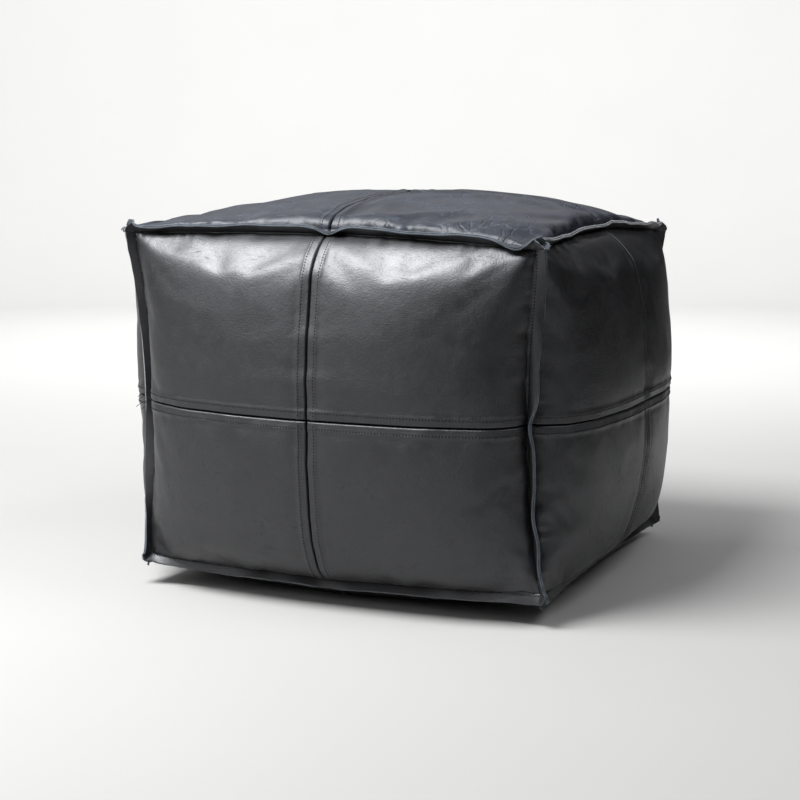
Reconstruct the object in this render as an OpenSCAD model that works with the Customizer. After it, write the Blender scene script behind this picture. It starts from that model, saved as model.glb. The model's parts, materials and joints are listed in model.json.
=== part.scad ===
// Square stuffed leather pouf. Millimetres, +Z up, front side facing -Y.
// The origin is on the floor under the middle of the base.

/* [Casing] */
// Width across the casing between opposite edge seams, at the corners
seam_width = 430; // [380:5:500]
// Height from the bottom edge seam to the top edge seam, at the corners
seam_height = 335; // [270:5:420]
// Height of the bottom corners above the floor
corner_lift = 24; // [20:1:30]
// How far the middle of the top stands above its corners
crown = 44; // [34:1:60]
// How far the middle of each side stands out beyond its corners
side_bulge = 46; // [36:1:60]
// How far the middle of each upright seam is drawn in
upright_draw = 7; // [4:0.5:10]
// How far the middle of each top and bottom edge seam is drawn in
edge_draw = 8; // [5:0.5:11]
// How far the middle of each top edge seam rises above its ends
rim_rise = 6; // [3:0.5:9]

/* [Leather] */
// Thickness of the leather
leather = 1.5; // [1.2:0.1:1.9]
// Space between two sewn panels
seam_gap = 0.6; // [0.5:0.05:0.8]
// Width of the raw edges that stand outside the edge seams
allowance = 12; // [10:0.5:15]
// Upward tilt of the top raw edges
rim_tilt = 12; // [5:1:20]
// Downward tilt of the bottom raw edges
hem_tilt = 60; // [50:1:70]
// Distance of a topstitched row from its seam
stitch_row = 8; // [6:0.5:10]
// Distance of the edge stitching from the seam fold
edge_stitch = 5; // [4.5:0.5:6]
// Thickness of the sewing thread
thread = 1; // [0.8:0.1:1.2]

/* [Liner and filling] */
// Space between the casing and the liner
liner_space = 6; // [5:0.5:9]
// Thickness of the liner cloth
liner_cloth = 1; // [0.8:0.1:1.5]
// Space between the liner and the filling
filling_space = 2.5; // [2.2:0.1:4]

/* [Zip] */
// Length of the zip between the outer ends of its stops
zip_length = 280; // [225:5:290]
// Half the width of the opening between the two leather edges
zip_opening = 6.5; // [6:0.25:8]
// Depth of the recess that the zip lies in
zip_recess = 6.4; // [6:0.1:7]
// Width of each zip tape
tape_width = 14; // [12:0.5:15]
// Thickness of each zip tape
tape_thick = 0.8; // [0.6:0.1:1]
// Width of each row of coil teeth
coil_width = 2.4; // [2:0.1:2.6]
// Height of the coil teeth
coil_height = 2; // [1.8:0.1:2.2]
// Length of each end stop
stop_length = 3; // [2:0.5:4]
// Length of the slider body
slider_length = 12; // [10:0.5:14]
// Width of the slider body
slider_width = 9.4; // [9:0.1:10.4]
// Thickness of the slider's plates and side walls
slider_plate = 1; // [0.8:0.1:1.1]
// Length of the pull, from its hinge bar to its tip
pull_length = 26; // [20:1:30]
// Width of the pull
pull_width = 8; // [7:0.5:9]
// Thickness of the pull
pull_thick = 1.4; // [1.2:0.1:1.5]
// Radius of the pull's hinge bar
bar_radius = 0.9; // [0.8:0.05:0.95]

/* [Hidden] */
$fn = 48;

half = seam_width / 2;
mid_height = corner_lift + seam_height / 2;
side_fullness = 0.5; // exponent of the side bulge, lower is squarer
top_fullness = 0.4; // exponent of the crown
base_sag = 46; // fall of an unsupported base, cut off by the floor
seam_recess = 1.4; // lift of the base's cross seam, so its stitches miss the floor
seam_band = stitch_row + 2.5; // width of the folded edge beside a cross seam
clear = 0.1; // thread and tape to leather

// Shares of the half width or height where the panels' grids have their lines
panel_shares = [0.3, 0.58, 0.82, 0.95, 1];
last = len(panel_shares) + 2; // the grid line on the edge seam

// Zip levels and lengths
zip_half = zip_length / 2;
zip_fade = 12; // length over which the opening closes beyond each end
tape_level = zip_recess + 2 * leather + clear;
tape_gap = 0.5; // tape and coil edge to the middle line
play = 0.3; // slider to tape and coil
floor_plate_top = tape_level - coil_height - play;
floor_plate_bottom = floor_plate_top - slider_plate;
roof_plate_bottom = tape_level + tape_thick + play;
slider_top = roof_plate_bottom + slider_plate;
bail_radius = bar_radius + 1;
bail_half_width = 1.5;
bar_play = 0.07; // hinge bar to the slider's bail
bar_level = floor_plate_bottom - bail_radius + 0.1;
pull_arm = 1.5; // width of each arm beside the bail
pull_droop = 5.5; // the pull's tip hangs almost to the floor
slider_x = -zip_half + stop_length + play + slider_length / 2;
recess_flat = zip_half + pull_length; // end of the recess's level part
liner_floor = slider_top + 1.4;

function unit(v) = v / norm(v);
function bow(s) = 1 - s * s;
function full(s, k) = pow(max(0, bow(s)), k);
function smooth(r) = r * r * (3 - 2 * r);
function ramp(v, from, to) = smooth(min(1, max(0, (to - v) / (to - from))));

// Point of the front side at share s of the half width and t of the half height
function side_point(s, t, inset = 0) =
  let (
    w = half - inset,
    pull = upright_draw * bow(t) + edge_draw * bow(s),
    puff = (side_bulge + upright_draw + edge_draw) * full(s, side_fullness) * full(t, side_fullness),
    rise = t > 0 ? rim_rise * bow(s) : 0
  )
  [s * (w - upright_draw * bow(t)), -(w - pull + puff), mid_height + t * (seam_height / 2 - inset + rise)];

// Point of the top at shares s and t of the half width
function top_point(s, t, inset = 0) =
  let (
    w = half - inset,
    puff = (crown - 2 * rim_rise) * full(s, top_fullness) * full(t, top_fullness)
  )
  [
    s * (w - edge_draw * bow(t)),
    t * (w - edge_draw * bow(s)),
    corner_lift + seam_height - inset + rim_rise * (bow(s) + bow(t)) + puff
  ];

// Height of the base's flesh side, pressed flat by the floor, with recesses for its seams
function base_height(x, y, s, t) =
  let (
    hang = corner_lift - leather - base_sag * full(s, 0.5) * full(t, 0.5),
    zip_edge = zip_opening + seam_band,
    across_zip = ramp(abs(y), zip_edge + 1, zip_edge + 40),
    recess = zip_recess * across_zip * ramp(abs(x), recess_flat, recess_flat + 25),
    seam = seam_recess * max(across_zip, ramp(abs(x), seam_band + 1, seam_band + 30))
  )
  leather + max(0, hang, recess, seam);

function base_point(s, t) =
  let (
    x = s * half - edge_draw * bow(t) * pow(s, 9),
    y = t * half - edge_draw * bow(s) * pow(t, 9)
  )
  [x, y, base_height(x, y, s, t)];

// Base of the liner, level above the zip
function liner_base_point(s, t, inset) =
  let (
    w = half - inset,
    lift = corner_lift + inset - base_sag * full(s, 0.5) * full(t, 0.5)
  )
  [s * (w - edge_draw * bow(t)), t * (w - edge_draw * bow(s)), max(liner_floor + inset - liner_space, lift)];

// Half width of the gap between the base panels at share s along the zip
function opening(s) =
  seam_gap / 2 + (zip_opening - seam_gap / 2) * min(1, max(0, (zip_half + zip_fade - s * half) / zip_fade));

// The three faces that panels are cut for
SIDE = 0;
TOP = 1;
BASE = 2;

function face_point(face, s, t) =
  face == SIDE ? side_point(s, t) : face == TOP ? top_point(s, t) : base_point(s, t);

function face_out(face) = face == SIDE ? [0, -1, 0] : face == TOP ? [0, 0, 1] : [0, 0, -1];

function face_normal(face, s, t) =
  let (
    d = 0.0005,
    n = unit(cross(
      face_point(face, s + d, t) - face_point(face, s - d, t),
      face_point(face, s, t + d) - face_point(face, s, t - d)
    ))
  )
  n * face_out(face) < 0 ? -n : n;

// Grid lines from a cross seam to the edge seam, as shares of a half length
function panel_lines(start, length) =
  concat([start, start + stitch_row, start + seam_band] / length, panel_shares);

function base_lines() =
  concat(
    [seam_gap / 2, stitch_row, seam_band, zip_half / 2, zip_half, zip_half + zip_fade] / half,
    [(zip_half + zip_fade) / half * 0.4 + 0.57, 1]
  );

// Raw edges: the way each stands out, and the grain side of one of its two layers
rim_front = [[0, -cos(rim_tilt), sin(rim_tilt)], [0, sin(rim_tilt), cos(rim_tilt)]];
rim_right = [[cos(rim_tilt), 0, sin(rim_tilt)], [-sin(rim_tilt), 0, cos(rim_tilt)]];
hem_front = [[0, -cos(hem_tilt), -sin(hem_tilt)], [0, sin(hem_tilt), -cos(hem_tilt)]];
hem_right = [[cos(hem_tilt), 0, -sin(hem_tilt)], [-sin(hem_tilt), 0, -cos(hem_tilt)]];
upright_right = [unit([1, -1, 0]), unit([-1, -1, 0])];
function other_layer(edge) = [edge[0], -edge[1]];

// A panel: [face, sign of t, lines along s, lines along t, edge at s = 1, edge at t = 1]
top_panel = [TOP, -1, panel_lines(seam_gap / 2, half), panel_lines(seam_gap / 2, half), rim_right, rim_front];
upper_panel = [
  SIDE, 1, panel_lines(seam_gap / 2, half), panel_lines(seam_gap / 2, seam_height / 2),
  upright_right, other_layer(rim_front)
];
lower_panel = [
  SIDE, -1, panel_lines(seam_gap / 2, half), panel_lines(seam_gap / 2, seam_height / 2),
  upright_right, other_layer(hem_front)
];
base_panel = [BASE, -1, base_lines(), undef, hem_right, hem_front];

function panel_s(panel, i) = panel[2][i];
function panel_t(panel, i, j) =
  panel[1] * (panel[0] == BASE ? panel_lines(opening(panel_s(panel, i)), half)[j] : panel[3][j]);
function on_face(panel, i, j) = face_point(panel[0], panel_s(panel, i), panel_t(panel, i, j));
function normal_at(panel, i, j) =
  face_normal(panel[0], min(0.99, panel_s(panel, i)), max(-0.99, min(0.99, panel_t(panel, i, j))));

// Sum of two layers' offsets: the point that is one step clear of both
function mitre(a, b) = (a + b) / (1 + a * b);

// Flesh side of the panel, with its folded allowance beside the cross seams
function flesh(panel, i, j) =
  let (right = panel[4], front = panel[5], p = on_face(panel, i, j))
  i == last && j == last ? p + mitre(right[1], front[1]) * seam_gap / 2
  : i == last ? p + right[1] * seam_gap / 2
  : j == last ? p + front[1] * seam_gap / 2
  : i < 2 || j < 2 ? p - normal_at(panel, i, j) * leather
  : p;

// Grain side at an edge seam: one thickness clear of both the raw edge and the panel
function grain_at_fold(panel, i, j, next_i, next_j, edge) =
  let (
    p = flesh(panel, i, j),
    way = unit(on_face(panel, next_i, next_j) - p),
    n = normal_at(panel, next_i, next_j),
    square_on = unit(n - (n * way) * way)
  )
  p + mitre(edge[1], square_on) * leather;

function grain(panel, i, j) =
  i == last && j == last ? flesh(panel, i, j) + face_out(panel[0]) * leather
  : i == last ? grain_at_fold(panel, i, j, i - 1, j, panel[4])
  : j == last ? grain_at_fold(panel, i, j, i, j - 1, panel[5])
  : on_face(panel, i, j) + normal_at(panel, i, j) * leather;

// One grid point of a side of the panel; the line after the last is the raw edge's tip
function sheet_point(panel, i, j, outer) =
  let (edge = i > last ? panel[4] : panel[5], at_tip = i > last || j > last)
  at_tip ? flesh(panel, min(i, last), min(j, last)) + edge[0] * allowance + edge[1] * (outer ? leather : 0)
  : outer ? grain(panel, i, j)
  : flesh(panel, i, j);

// The raw edges run out at the corner, so the grid points there are one point
lines = last + 2;
function spot(i, j) =
  (i > last && j >= last) || (j > last && i >= last) ? last * lines + last : i * lines + j;
function triangle(a, b, c) = a == b || b == c || c == a ? [] : [[a, b, c]];
function square_of(a, b, c, d) = concat(triangle(a, b, c), triangle(a, c, d));
function flipped(faces) = [for (f = faces) [f[2], f[1], f[0]]];

module sheet(panel) {
  count = lines * lines;
  points = [
    for (outer = [false, true], i = [0 : lines - 1], j = [0 : lines - 1])
      sheet_point(panel, j > last ? min(i, last) : i, j, outer)
  ];
  path = concat(
    [for (i = [0 : last]) spot(i, 0)],
    [for (j = [0 : last]) spot(last + 1, j)],
    [for (i = [last + 1 : -1 : 1]) spot(i, last + 1)],
    [for (j = [last + 1 : -1 : 1]) spot(0, j)]
  );
  skins = [
    for (i = [0 : last], j = [0 : last])
      each square_of(spot(i, j), spot(i + 1, j), spot(i + 1, j + 1), spot(i, j + 1))
  ];
  rim = [
    for (k = [0 : len(path) - 1])
      let (a = path[k], b = path[(k + 1) % len(path)])
        if (a != b) each [[a, b, b + count], [a, b + count, a + count]]
  ];
  inward = flipped(skins);
  outward = [for (f = skins) [f[0] + count, f[1] + count, f[2] + count]];
  solid = concat(inward, outward, rim);
  polyhedron(points, turned(panel, solid), convexity = 6);
}

// Faces wound so that the solid is right side out
function turned(panel, faces) =
  let (
    s = cross(on_face(panel, 1, 0) - on_face(panel, 0, 0), on_face(panel, 0, 1) - on_face(panel, 0, 0)),
    outwards = s * face_out(panel[0]) > 0
  )
  outwards ? flipped(faces) : faces;

// A thread laid along points, with the surface's normal at each
module laid_thread(points, normals) {
  r = thread / 2;
  n = len(points);
  ring = [
    for (k = [0 : n - 1])
      let (
        way = unit(points[min(k + 1, n - 1)] - points[max(k - 1, 0)]),
        up = unit(normals[k] - (normals[k] * way) * way),
        side = cross(way, up)
      )
        each [for (a = [0 : 3]) points[k] + up * (r + clear) + (up * cos(90 * a) + side * sin(90 * a)) * r]
  ];
  skin = [
    for (k = [0 : n - 2], a = [0 : 3])
      let (p = 4 * k + a, q = 4 * k + (a + 1) % 4)
        each [[p, p + 4, q + 4], [p, q + 4, q]]
  ];
  end = 4 * n - 4;
  caps = [[0, 1, 2], [0, 2, 3], [end + 3, end + 2, end + 1], [end + 3, end + 1, end]];
  polyhedron(ring, concat(skin, caps));
}

// The two topstitched rows of one panel; the row along t runs right through
module panel_rows(panel) {
  through = [for (j = [0 : last - 1]) [1, j]];
  stopped = [for (i = [2 : last - 1]) [i, 1]];
  for (row = [through, stopped])
    laid_thread([for (g = row) grain(panel, g[0], g[1])], [for (g = row) normal_at(panel, g[0], g[1])]);
}

// Stitching along one raw edge, on the grain side of this panel's layer
module edge_row(panel, along_t) {
  edge = along_t ? panel[4] : panel[5];
  points = [
    for (k = [0 : last - 1])
      (along_t ? flesh(panel, last, k) : flesh(panel, k, last)) + edge[0] * edge_stitch + edge[1] * leather
  ];
  laid_thread(points, [for (p = points) edge[1]]);
}

// Copies a right-hand piece to the left, as asked
module handed(hand) {
  mirror([hand < 0 ? 1 : 0, 0, 0]) children();
}

// The four sides in turn: front, right, back, left
module on_side(turn) {
  rotate([0, 0, 90 * turn]) children();
}

module four_quarters() {
  for (x = [0, 1], y = [0, 1])
    mirror([x, 0, 0])
      mirror([0, y, 0])
        children();
}

module top_piece(hand, back) {
  color("#34363b")
    mirror([0, back, 0])
      handed(hand)
        sheet(top_panel);
}

module side_piece(turn, hand, panel) {
  color("#232325")
    on_side(turn)
      handed(hand)
        sheet(panel);
}

module base_piece(hand, back) {
  color("#29292b")
    mirror([0, back, 0])
      handed(hand)
        sheet(base_panel);
}

module top_topstitching() {
  color("#55565a")
    four_quarters()
      panel_rows(top_panel);
}

module base_topstitching() {
  color("#55565a")
    four_quarters()
      panel_rows(base_panel);
}

module side_topstitching(turn) {
  color("#4a4a4d")
    on_side(turn)
      for (hand = [-1, 1], panel = [upper_panel, lower_panel])
        handed(hand)
          panel_rows(panel);
}

module rim_stitching() {
  color("#6a6d72")
    four_quarters() {
      edge_row(top_panel, true);
      edge_row(top_panel, false);
    }
}

module upright_stitching() {
  color("#6a6d72")
    for (turn = [0 : 3], panel = [upper_panel, lower_panel])
      on_side(turn)
        edge_row(panel, true);
}

module hem_stitching() {
  color("#6a6d72")
    for (turn = [0 : 3], hand = [-1, 1])
      on_side(turn)
        handed(hand)
          edge_row(lower_panel, false);
}

// The liner and the filling are bags of square rings: rings across the base from its
// middle out, rings up the wall, then rings across the top back to its middle.
ring_shares = [-1, -0.9, -0.55, 0, 0.55, 0.9];
across = [0.93, 0.75, 0.4];
wall_levels = [-0.9, -0.5, 0, 0.5, 0.9];

function base_ring(r, inset) =
  [for (turn = [0 : 3], s = ring_shares) turned_point(liner_base_point(s * r, -r, inset), turn)];
function wall_ring(t, inset) =
  [for (turn = [0 : 3], s = ring_shares) turned_point(side_point(s, t, inset), turn)];
function top_ring(r, inset) =
  [for (turn = [0 : 3], s = ring_shares) turned_point(top_point(s * r, -r, inset), turn)];
function turned_point(p, turn) =
  [p[0] * cos(90 * turn) - p[1] * sin(90 * turn), p[0] * sin(90 * turn) + p[1] * cos(90 * turn), p[2]];

ring_count = 4 * len(ring_shares);
function tube_faces(first, second) = [
  for (k = [0 : ring_count - 1])
    let (
      a = first * ring_count + k,
      b = first * ring_count + (k + 1) % ring_count,
      step = (second - first) * ring_count
    )
      each [[a, a + step, b + step], [a, b + step, b]]
];
function cap_faces(ring, middle, up) = [
  for (k = [0 : ring_count - 1])
    let (a = ring * ring_count + k, b = ring * ring_count + (k + 1) % ring_count)
      up ? [a, middle, b] : [b, middle, a]
];

// A dished sheet between two stacks of rings, each closed by a middle point
module dished_sheet(outer, inner, outer_middle, inner_middle, up) {
  n = len(outer);
  points = concat([for (r = outer) each r], [for (r = inner) each r], [outer_middle, inner_middle]);
  middle = 2 * n * ring_count;
  faces = concat(
    [for (k = [0 : n - 2]) each tube_faces(k, k + 1)],
    cap_faces(n - 1, middle, true),
    [for (k = [0 : n - 2]) each flipped(tube_faces(n + k, n + k + 1))],
    cap_faces(2 * n - 1, middle + 1, false),
    tube_faces(n, 0)
  );
  polyhedron(points, up ? faces : flipped(faces));
}

liner_in = liner_space + liner_cloth;

module liner_top() {
  color("#cfc8b8")
    dished_sheet(
      [for (r = concat([1], across)) top_ring(r, liner_space)],
      [for (r = concat([1], across)) top_ring(r, liner_in)],
      top_point(0, 0, liner_space), top_point(0, 0, liner_in), true
    );
}

module liner_base() {
  color("#cfc8b8")
    dished_sheet(
      [for (r = concat([1], across)) base_ring(r, liner_space)],
      [for (r = concat([1], across)) base_ring(r, liner_in)],
      liner_base_point(0, 0, liner_space), liner_base_point(0, 0, liner_in), false
    );
}

module liner_wall() {
  levels = concat([-0.999], wall_levels, [0.999]);
  n = len(levels);
  points = concat(
    [for (t = levels) each wall_ring(t, liner_space)],
    [for (t = levels) each wall_ring(t, liner_in)]
  );
  faces = concat(
    [for (k = [0 : n - 2]) each tube_faces(k, k + 1)],
    [for (k = [0 : n - 2]) each flipped(tube_faces(n + k, n + k + 1))],
    tube_faces(n, 0),
    tube_faces(n - 1, 2 * n - 1)
  );
  color("#d6cfbf")
    polyhedron(points, faces);
}

module filling() {
  inset = liner_in + filling_space;
  rings = concat(
    [for (k = [len(across) - 1 : -1 : 0]) base_ring(across[k], inset)],
    [base_ring(1, inset)],
    [for (t = wall_levels) wall_ring(t, inset)],
    [top_ring(1, inset)],
    [for (r = across) top_ring(r, inset)]
  );
  n = len(rings);
  middle = n * ring_count;
  color("#e4dfd2")
    polyhedron(
      concat([for (r = rings) each r], [liner_base_point(0, 0, inset), top_point(0, 0, inset)]),
      concat(
        [for (k = [0 : n - 2]) each tube_faces(k, k + 1)],
        cap_faces(0, middle, false),
        cap_faces(n - 1, middle + 1, true)
      )
    );
}

// A box from its lowest to its highest corner
module block(low, high) {
  translate(low)
    cube(high - low);
}

module zip_tape(side) {
  color("#1c1c1e")
    mirror([0, side, 0])
      block(
        [-zip_half - zip_fade, -tape_gap - tape_width, tape_level],
        [zip_half + zip_fade, -tape_gap, tape_level + tape_thick]
      );
}

module zip_coil(side) {
  color("#2e2e31")
    mirror([0, side, 0])
      block(
        [-zip_half + stop_length, -tape_gap - coil_width, tape_level - coil_height],
        [zip_half - stop_length, -tape_gap, tape_level - clear]
      );
}

module zip_closed_end_stop() {
  color("#a9a9ab")
    for (side = [0, 1])
      mirror([0, side, 0])
        block(
          [-zip_half, -tape_gap - coil_width, tape_level - coil_height],
          [-zip_half + stop_length - clear, -tape_gap, tape_level - clear]
        );
}

module zip_open_end_stop() {
  color("#a9a9ab")
    block(
      [zip_half - stop_length + clear, -tape_gap - coil_width, tape_level - coil_height],
      [zip_half, tape_gap + coil_width, tape_level - clear]
    );
}

// Outline of a slider plate: a box with its corners cut
module plate_outline() {
  x = slider_length / 2;
  y = slider_width / 2;
  cut = slider_width / 5;
  polygon([
    [-x, -y + cut], [-x + cut, -y], [x - cut, -y], [x, -y + cut],
    [x, y - cut], [x - cut, y], [-x + cut, y], [-x, y - cut]
  ]);
}

module zip_slider() {
  wall_x = slider_length / 2 - slider_width / 5;
  wall_y = slider_width / 2;
  color("#8f9092")
    translate([slider_x, 0, 0])
      difference() {
        union() {
          translate([0, 0, floor_plate_bottom])
            linear_extrude(slider_plate)
              plate_outline();
          translate([0, 0, roof_plate_bottom])
            linear_extrude(slider_plate)
              plate_outline();
          for (side = [-1, 1]) {
            wall = side > 0 ? [wall_y - slider_plate, wall_y] : [-wall_y, -wall_y + slider_plate];
            block([-wall_x, wall[0], floor_plate_bottom], [wall_x, wall[1], tape_level - play]);
          }
          block(
            [-slider_length / 6, -tape_gap + play / 2, floor_plate_bottom],
            [slider_length / 6, tape_gap - play / 2, slider_top]
          );
          block([-bail_radius, -bail_half_width, bar_level], [bail_radius, bail_half_width, floor_plate_top]);
          translate([0, bail_half_width, bar_level])
            rotate([90, 0, 0])
              cylinder(h = 2 * bail_half_width, r = bail_radius);
        }
        translate([0, bail_half_width + 1, bar_level])
          rotate([90, 0, 0])
            cylinder(h = 2 * bail_half_width + 2, r = bar_radius + bar_play);
      }
}

// Outline of the pull lying along +X from its hinge bar, with a slot for the bail
module pull_outline() {
  window = bail_radius + 0.6;
  arm_in = bail_half_width + 0.35;
  arm_out = arm_in + pull_arm;
  body = pull_width / 2;
  difference() {
    union() {
      translate([0, -arm_out])
        square([window + 2, 2 * arm_out]);
      translate([window + 1, -body])
        square([pull_length - window - 1 - body, 2 * body]);
      translate([pull_length - body, 0])
        circle(r = body);
    }
    translate([-1, -arm_in])
      square([window + 1, 2 * arm_in]);
    translate([pull_length - body, 0])
      circle(r = body / 2.2);
  }
}

module zip_pull() {
  arm_out = bail_half_width + 0.35 + pull_arm;
  color("#9b9c9e")
    translate([slider_x, 0, bar_level])
      rotate([0, pull_droop, 0]) {
        translate([0, 0, -pull_thick / 2])
          linear_extrude(pull_thick)
            pull_outline();
        translate([0, arm_out, 0])
          rotate([90, 0, 0])
            cylinder(h = 2 * arm_out, r = bar_radius);
      }
}

top_piece(-1, 0);  // top_front_left
top_piece(1, 0);  // top_front_right
top_piece(-1, 1);  // top_back_left
top_piece(1, 1);  // top_back_right
side_piece(0, -1, upper_panel);  // front_upper_left
side_piece(0, 1, upper_panel);  // front_upper_right
side_piece(0, -1, lower_panel);  // front_lower_left
side_piece(0, 1, lower_panel);  // front_lower_right
side_piece(1, -1, upper_panel);  // right_upper_left
side_piece(1, 1, upper_panel);  // right_upper_right
side_piece(1, -1, lower_panel);  // right_lower_left
side_piece(1, 1, lower_panel);  // right_lower_right
side_piece(2, -1, upper_panel);  // back_upper_left
side_piece(2, 1, upper_panel);  // back_upper_right
side_piece(2, -1, lower_panel);  // back_lower_left
side_piece(2, 1, lower_panel);  // back_lower_right
side_piece(3, -1, upper_panel);  // left_upper_left
side_piece(3, 1, upper_panel);  // left_upper_right
side_piece(3, -1, lower_panel);  // left_lower_left
side_piece(3, 1, lower_panel);  // left_lower_right
base_piece(-1, 0);  // base_front_left
base_piece(1, 0);  // base_front_right
base_piece(-1, 1);  // base_back_left
base_piece(1, 1);  // base_back_right
top_topstitching();
side_topstitching(0);  // front_topstitching
side_topstitching(1);  // right_topstitching
side_topstitching(2);  // back_topstitching
side_topstitching(3);  // left_topstitching
base_topstitching();
rim_stitching();
upright_stitching();
hem_stitching();
liner_top();
liner_wall();
liner_base();
filling();
zip_tape(0);  // zip_tape_front
zip_tape(1);  // zip_tape_back
zip_coil(0);  // zip_coil_front
zip_coil(1);  // zip_coil_back
zip_closed_end_stop();
zip_open_end_stop();
zip_slider();
zip_pull();
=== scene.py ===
"""Visual model of a square stuffed leather pouf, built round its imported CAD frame.

The casing's form is worked out first, as one surface for each face. Leather panels, stitches,
liner and filling are then made on that form, and the zip is made on the frame's own levels.
"""

import json
import math

import bmesh
import bpy
import numpy as np
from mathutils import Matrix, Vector

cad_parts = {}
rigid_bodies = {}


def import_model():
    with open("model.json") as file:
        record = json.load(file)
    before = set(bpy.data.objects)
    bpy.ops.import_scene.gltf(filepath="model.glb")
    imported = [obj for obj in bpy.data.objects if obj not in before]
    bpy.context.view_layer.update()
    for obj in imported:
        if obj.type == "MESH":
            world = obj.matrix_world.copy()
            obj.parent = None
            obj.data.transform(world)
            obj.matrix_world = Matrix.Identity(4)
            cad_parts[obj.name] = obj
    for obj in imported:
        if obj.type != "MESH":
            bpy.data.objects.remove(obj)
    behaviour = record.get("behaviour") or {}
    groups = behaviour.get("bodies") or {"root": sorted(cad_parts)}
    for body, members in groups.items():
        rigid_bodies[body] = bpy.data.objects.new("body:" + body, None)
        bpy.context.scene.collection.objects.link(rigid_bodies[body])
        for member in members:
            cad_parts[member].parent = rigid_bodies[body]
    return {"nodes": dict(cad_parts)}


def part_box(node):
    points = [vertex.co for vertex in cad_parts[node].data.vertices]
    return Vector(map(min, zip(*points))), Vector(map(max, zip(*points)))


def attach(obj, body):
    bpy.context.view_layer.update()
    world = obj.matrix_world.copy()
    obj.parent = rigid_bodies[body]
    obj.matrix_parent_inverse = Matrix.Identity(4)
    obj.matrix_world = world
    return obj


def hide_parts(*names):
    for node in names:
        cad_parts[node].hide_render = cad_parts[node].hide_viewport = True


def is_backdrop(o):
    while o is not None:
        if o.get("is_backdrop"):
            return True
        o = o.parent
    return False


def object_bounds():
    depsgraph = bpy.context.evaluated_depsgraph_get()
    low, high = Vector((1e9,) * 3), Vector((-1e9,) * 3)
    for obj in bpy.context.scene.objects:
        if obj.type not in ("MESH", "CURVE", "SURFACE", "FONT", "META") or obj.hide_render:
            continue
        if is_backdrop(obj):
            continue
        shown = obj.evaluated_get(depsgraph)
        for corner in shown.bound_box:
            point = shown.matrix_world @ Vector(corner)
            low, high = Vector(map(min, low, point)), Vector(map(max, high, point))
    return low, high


bl_info = {
    "name": "Leather Pouf",
    "version": (1, 0, 0),
    "blender": (4, 5, 0),
    "location": "View3D > Sidebar > Pouf",
    "description": "Builds a stuffed leather pouf with turned-out seams, stitching and a zipped base",
    "category": "Add Mesh",
}

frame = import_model()
CAD_LOW, CAD_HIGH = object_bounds()
BODY = "casing"
SIDES = ("front", "right", "back", "left")
TOP, BASE = "top", "base"
FACES = (TOP, BASE) + SIDES


# ---------------------------------------------------------------- sizes and colours


def length(name, description, default):
    return bpy.props.FloatProperty(
        name=name, description=description, default=default, precision=4, unit="LENGTH"
    )


def colour(name, description, default):
    return bpy.props.FloatVectorProperty(
        name=name, description=description, default=default, size=3, subtype="COLOR", min=0, max=1
    )


class PoufSizes(bpy.types.PropertyGroup):
    """Sizes of the casing and its sewing."""

    seam_width: length("Seam width", "Width between opposite edge seams at the corners", 0.430)
    seam_height: length("Seam height", "Height between bottom and top edge seams", 0.335)
    corner_lift: length("Corner lift", "Height of the bottom corners above the floor", 0.024)
    crown: length("Crown", "How far the top's middle stands above its corners", 0.044)
    side_bulge: length("Side bulge", "How far a side's middle stands out", 0.046)
    upright_draw: length("Upright draw", "How far an upright seam's middle is drawn in", 0.0125)
    edge_draw: length("Edge draw", "How far a top or bottom seam's middle is drawn in", 0.0083)
    rim_rise: length("Rim rise", "Rise of the top edge seams at their middles", 0.0064)
    leather: length("Leather", "Thickness of the leather", 0.0015)
    raw_edge: length("Raw edge", "Width of the turned-out raw edges", 0.0112)
    stitch_row: length("Stitch row", "Distance of a topstitched row from its seam", 0.0080)
    stitch_pitch: length("Stitch pitch", "Distance from one stitch to the next", 0.0031)
    thread: length("Thread", "Thickness of the sewing thread", 0.00105)
    mesh_step: length("Mesh step", "Spacing of the panels' mesh lines", 0.0027)
    zip_opening: length("Zip opening", "Half the gap between the leather edges at the zip", 0.0065)
    liner_space: length("Liner space", "Gap between the form's outside and the liner", 0.0062)


class PoufColours(bpy.types.PropertyGroup):
    """Colours of the leather, thread, cloth and metal."""

    # The top's leather is coloured lighter and bluer than the sides' leather.
    top_leather: colour("Top leather", "Leather of the top", (0.0085, 0.0105, 0.0150))
    side_leather: colour("Side leather", "Leather of the sides", (0.0030, 0.0030, 0.0037))
    base_leather: colour("Base leather", "Leather of the base", (0.0085, 0.0085, 0.0090))
    raw_edge: colour("Raw edge", "Cut edge and flesh side of the leather", (0.042, 0.051, 0.063))
    thread: colour("Thread", "Sewing thread", (0.0045, 0.0045, 0.0055))
    liner: colour("Liner", "Cotton liner", (0.60, 0.56, 0.48))
    filling: colour("Filling", "Cotton wadding", (0.74, 0.70, 0.62))
    zip_tape: colour("Zip tape", "Woven zip tape", (0.016, 0.016, 0.018))
    zip_coil: colour("Zip coil", "Nylon zip coil", (0.022, 0.022, 0.025))
    zip_metal: colour("Zip metal", "Nickel-plated slider, pull and stops", (0.52, 0.52, 0.53))


def sizes():
    return bpy.context.scene.pouf_sizes


def colours():
    return bpy.context.scene.pouf_colours


# ---------------------------------------------------------------- numbers


def lattice(cells, seed):
    """A repeatable number from -1 to 1 for each whole-number cell, given as an (n, 3) array."""
    mixed = cells[:, 0] * 374761393 + cells[:, 1] * 668265263 + cells[:, 2] * 1440662683 + seed * 974634777
    mixed = (mixed ^ (mixed >> 13)) * 1274126177
    mixed = mixed ^ (mixed >> 16)
    return (mixed & 0xFFFF) / 32767.5 - 1.0


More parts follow.
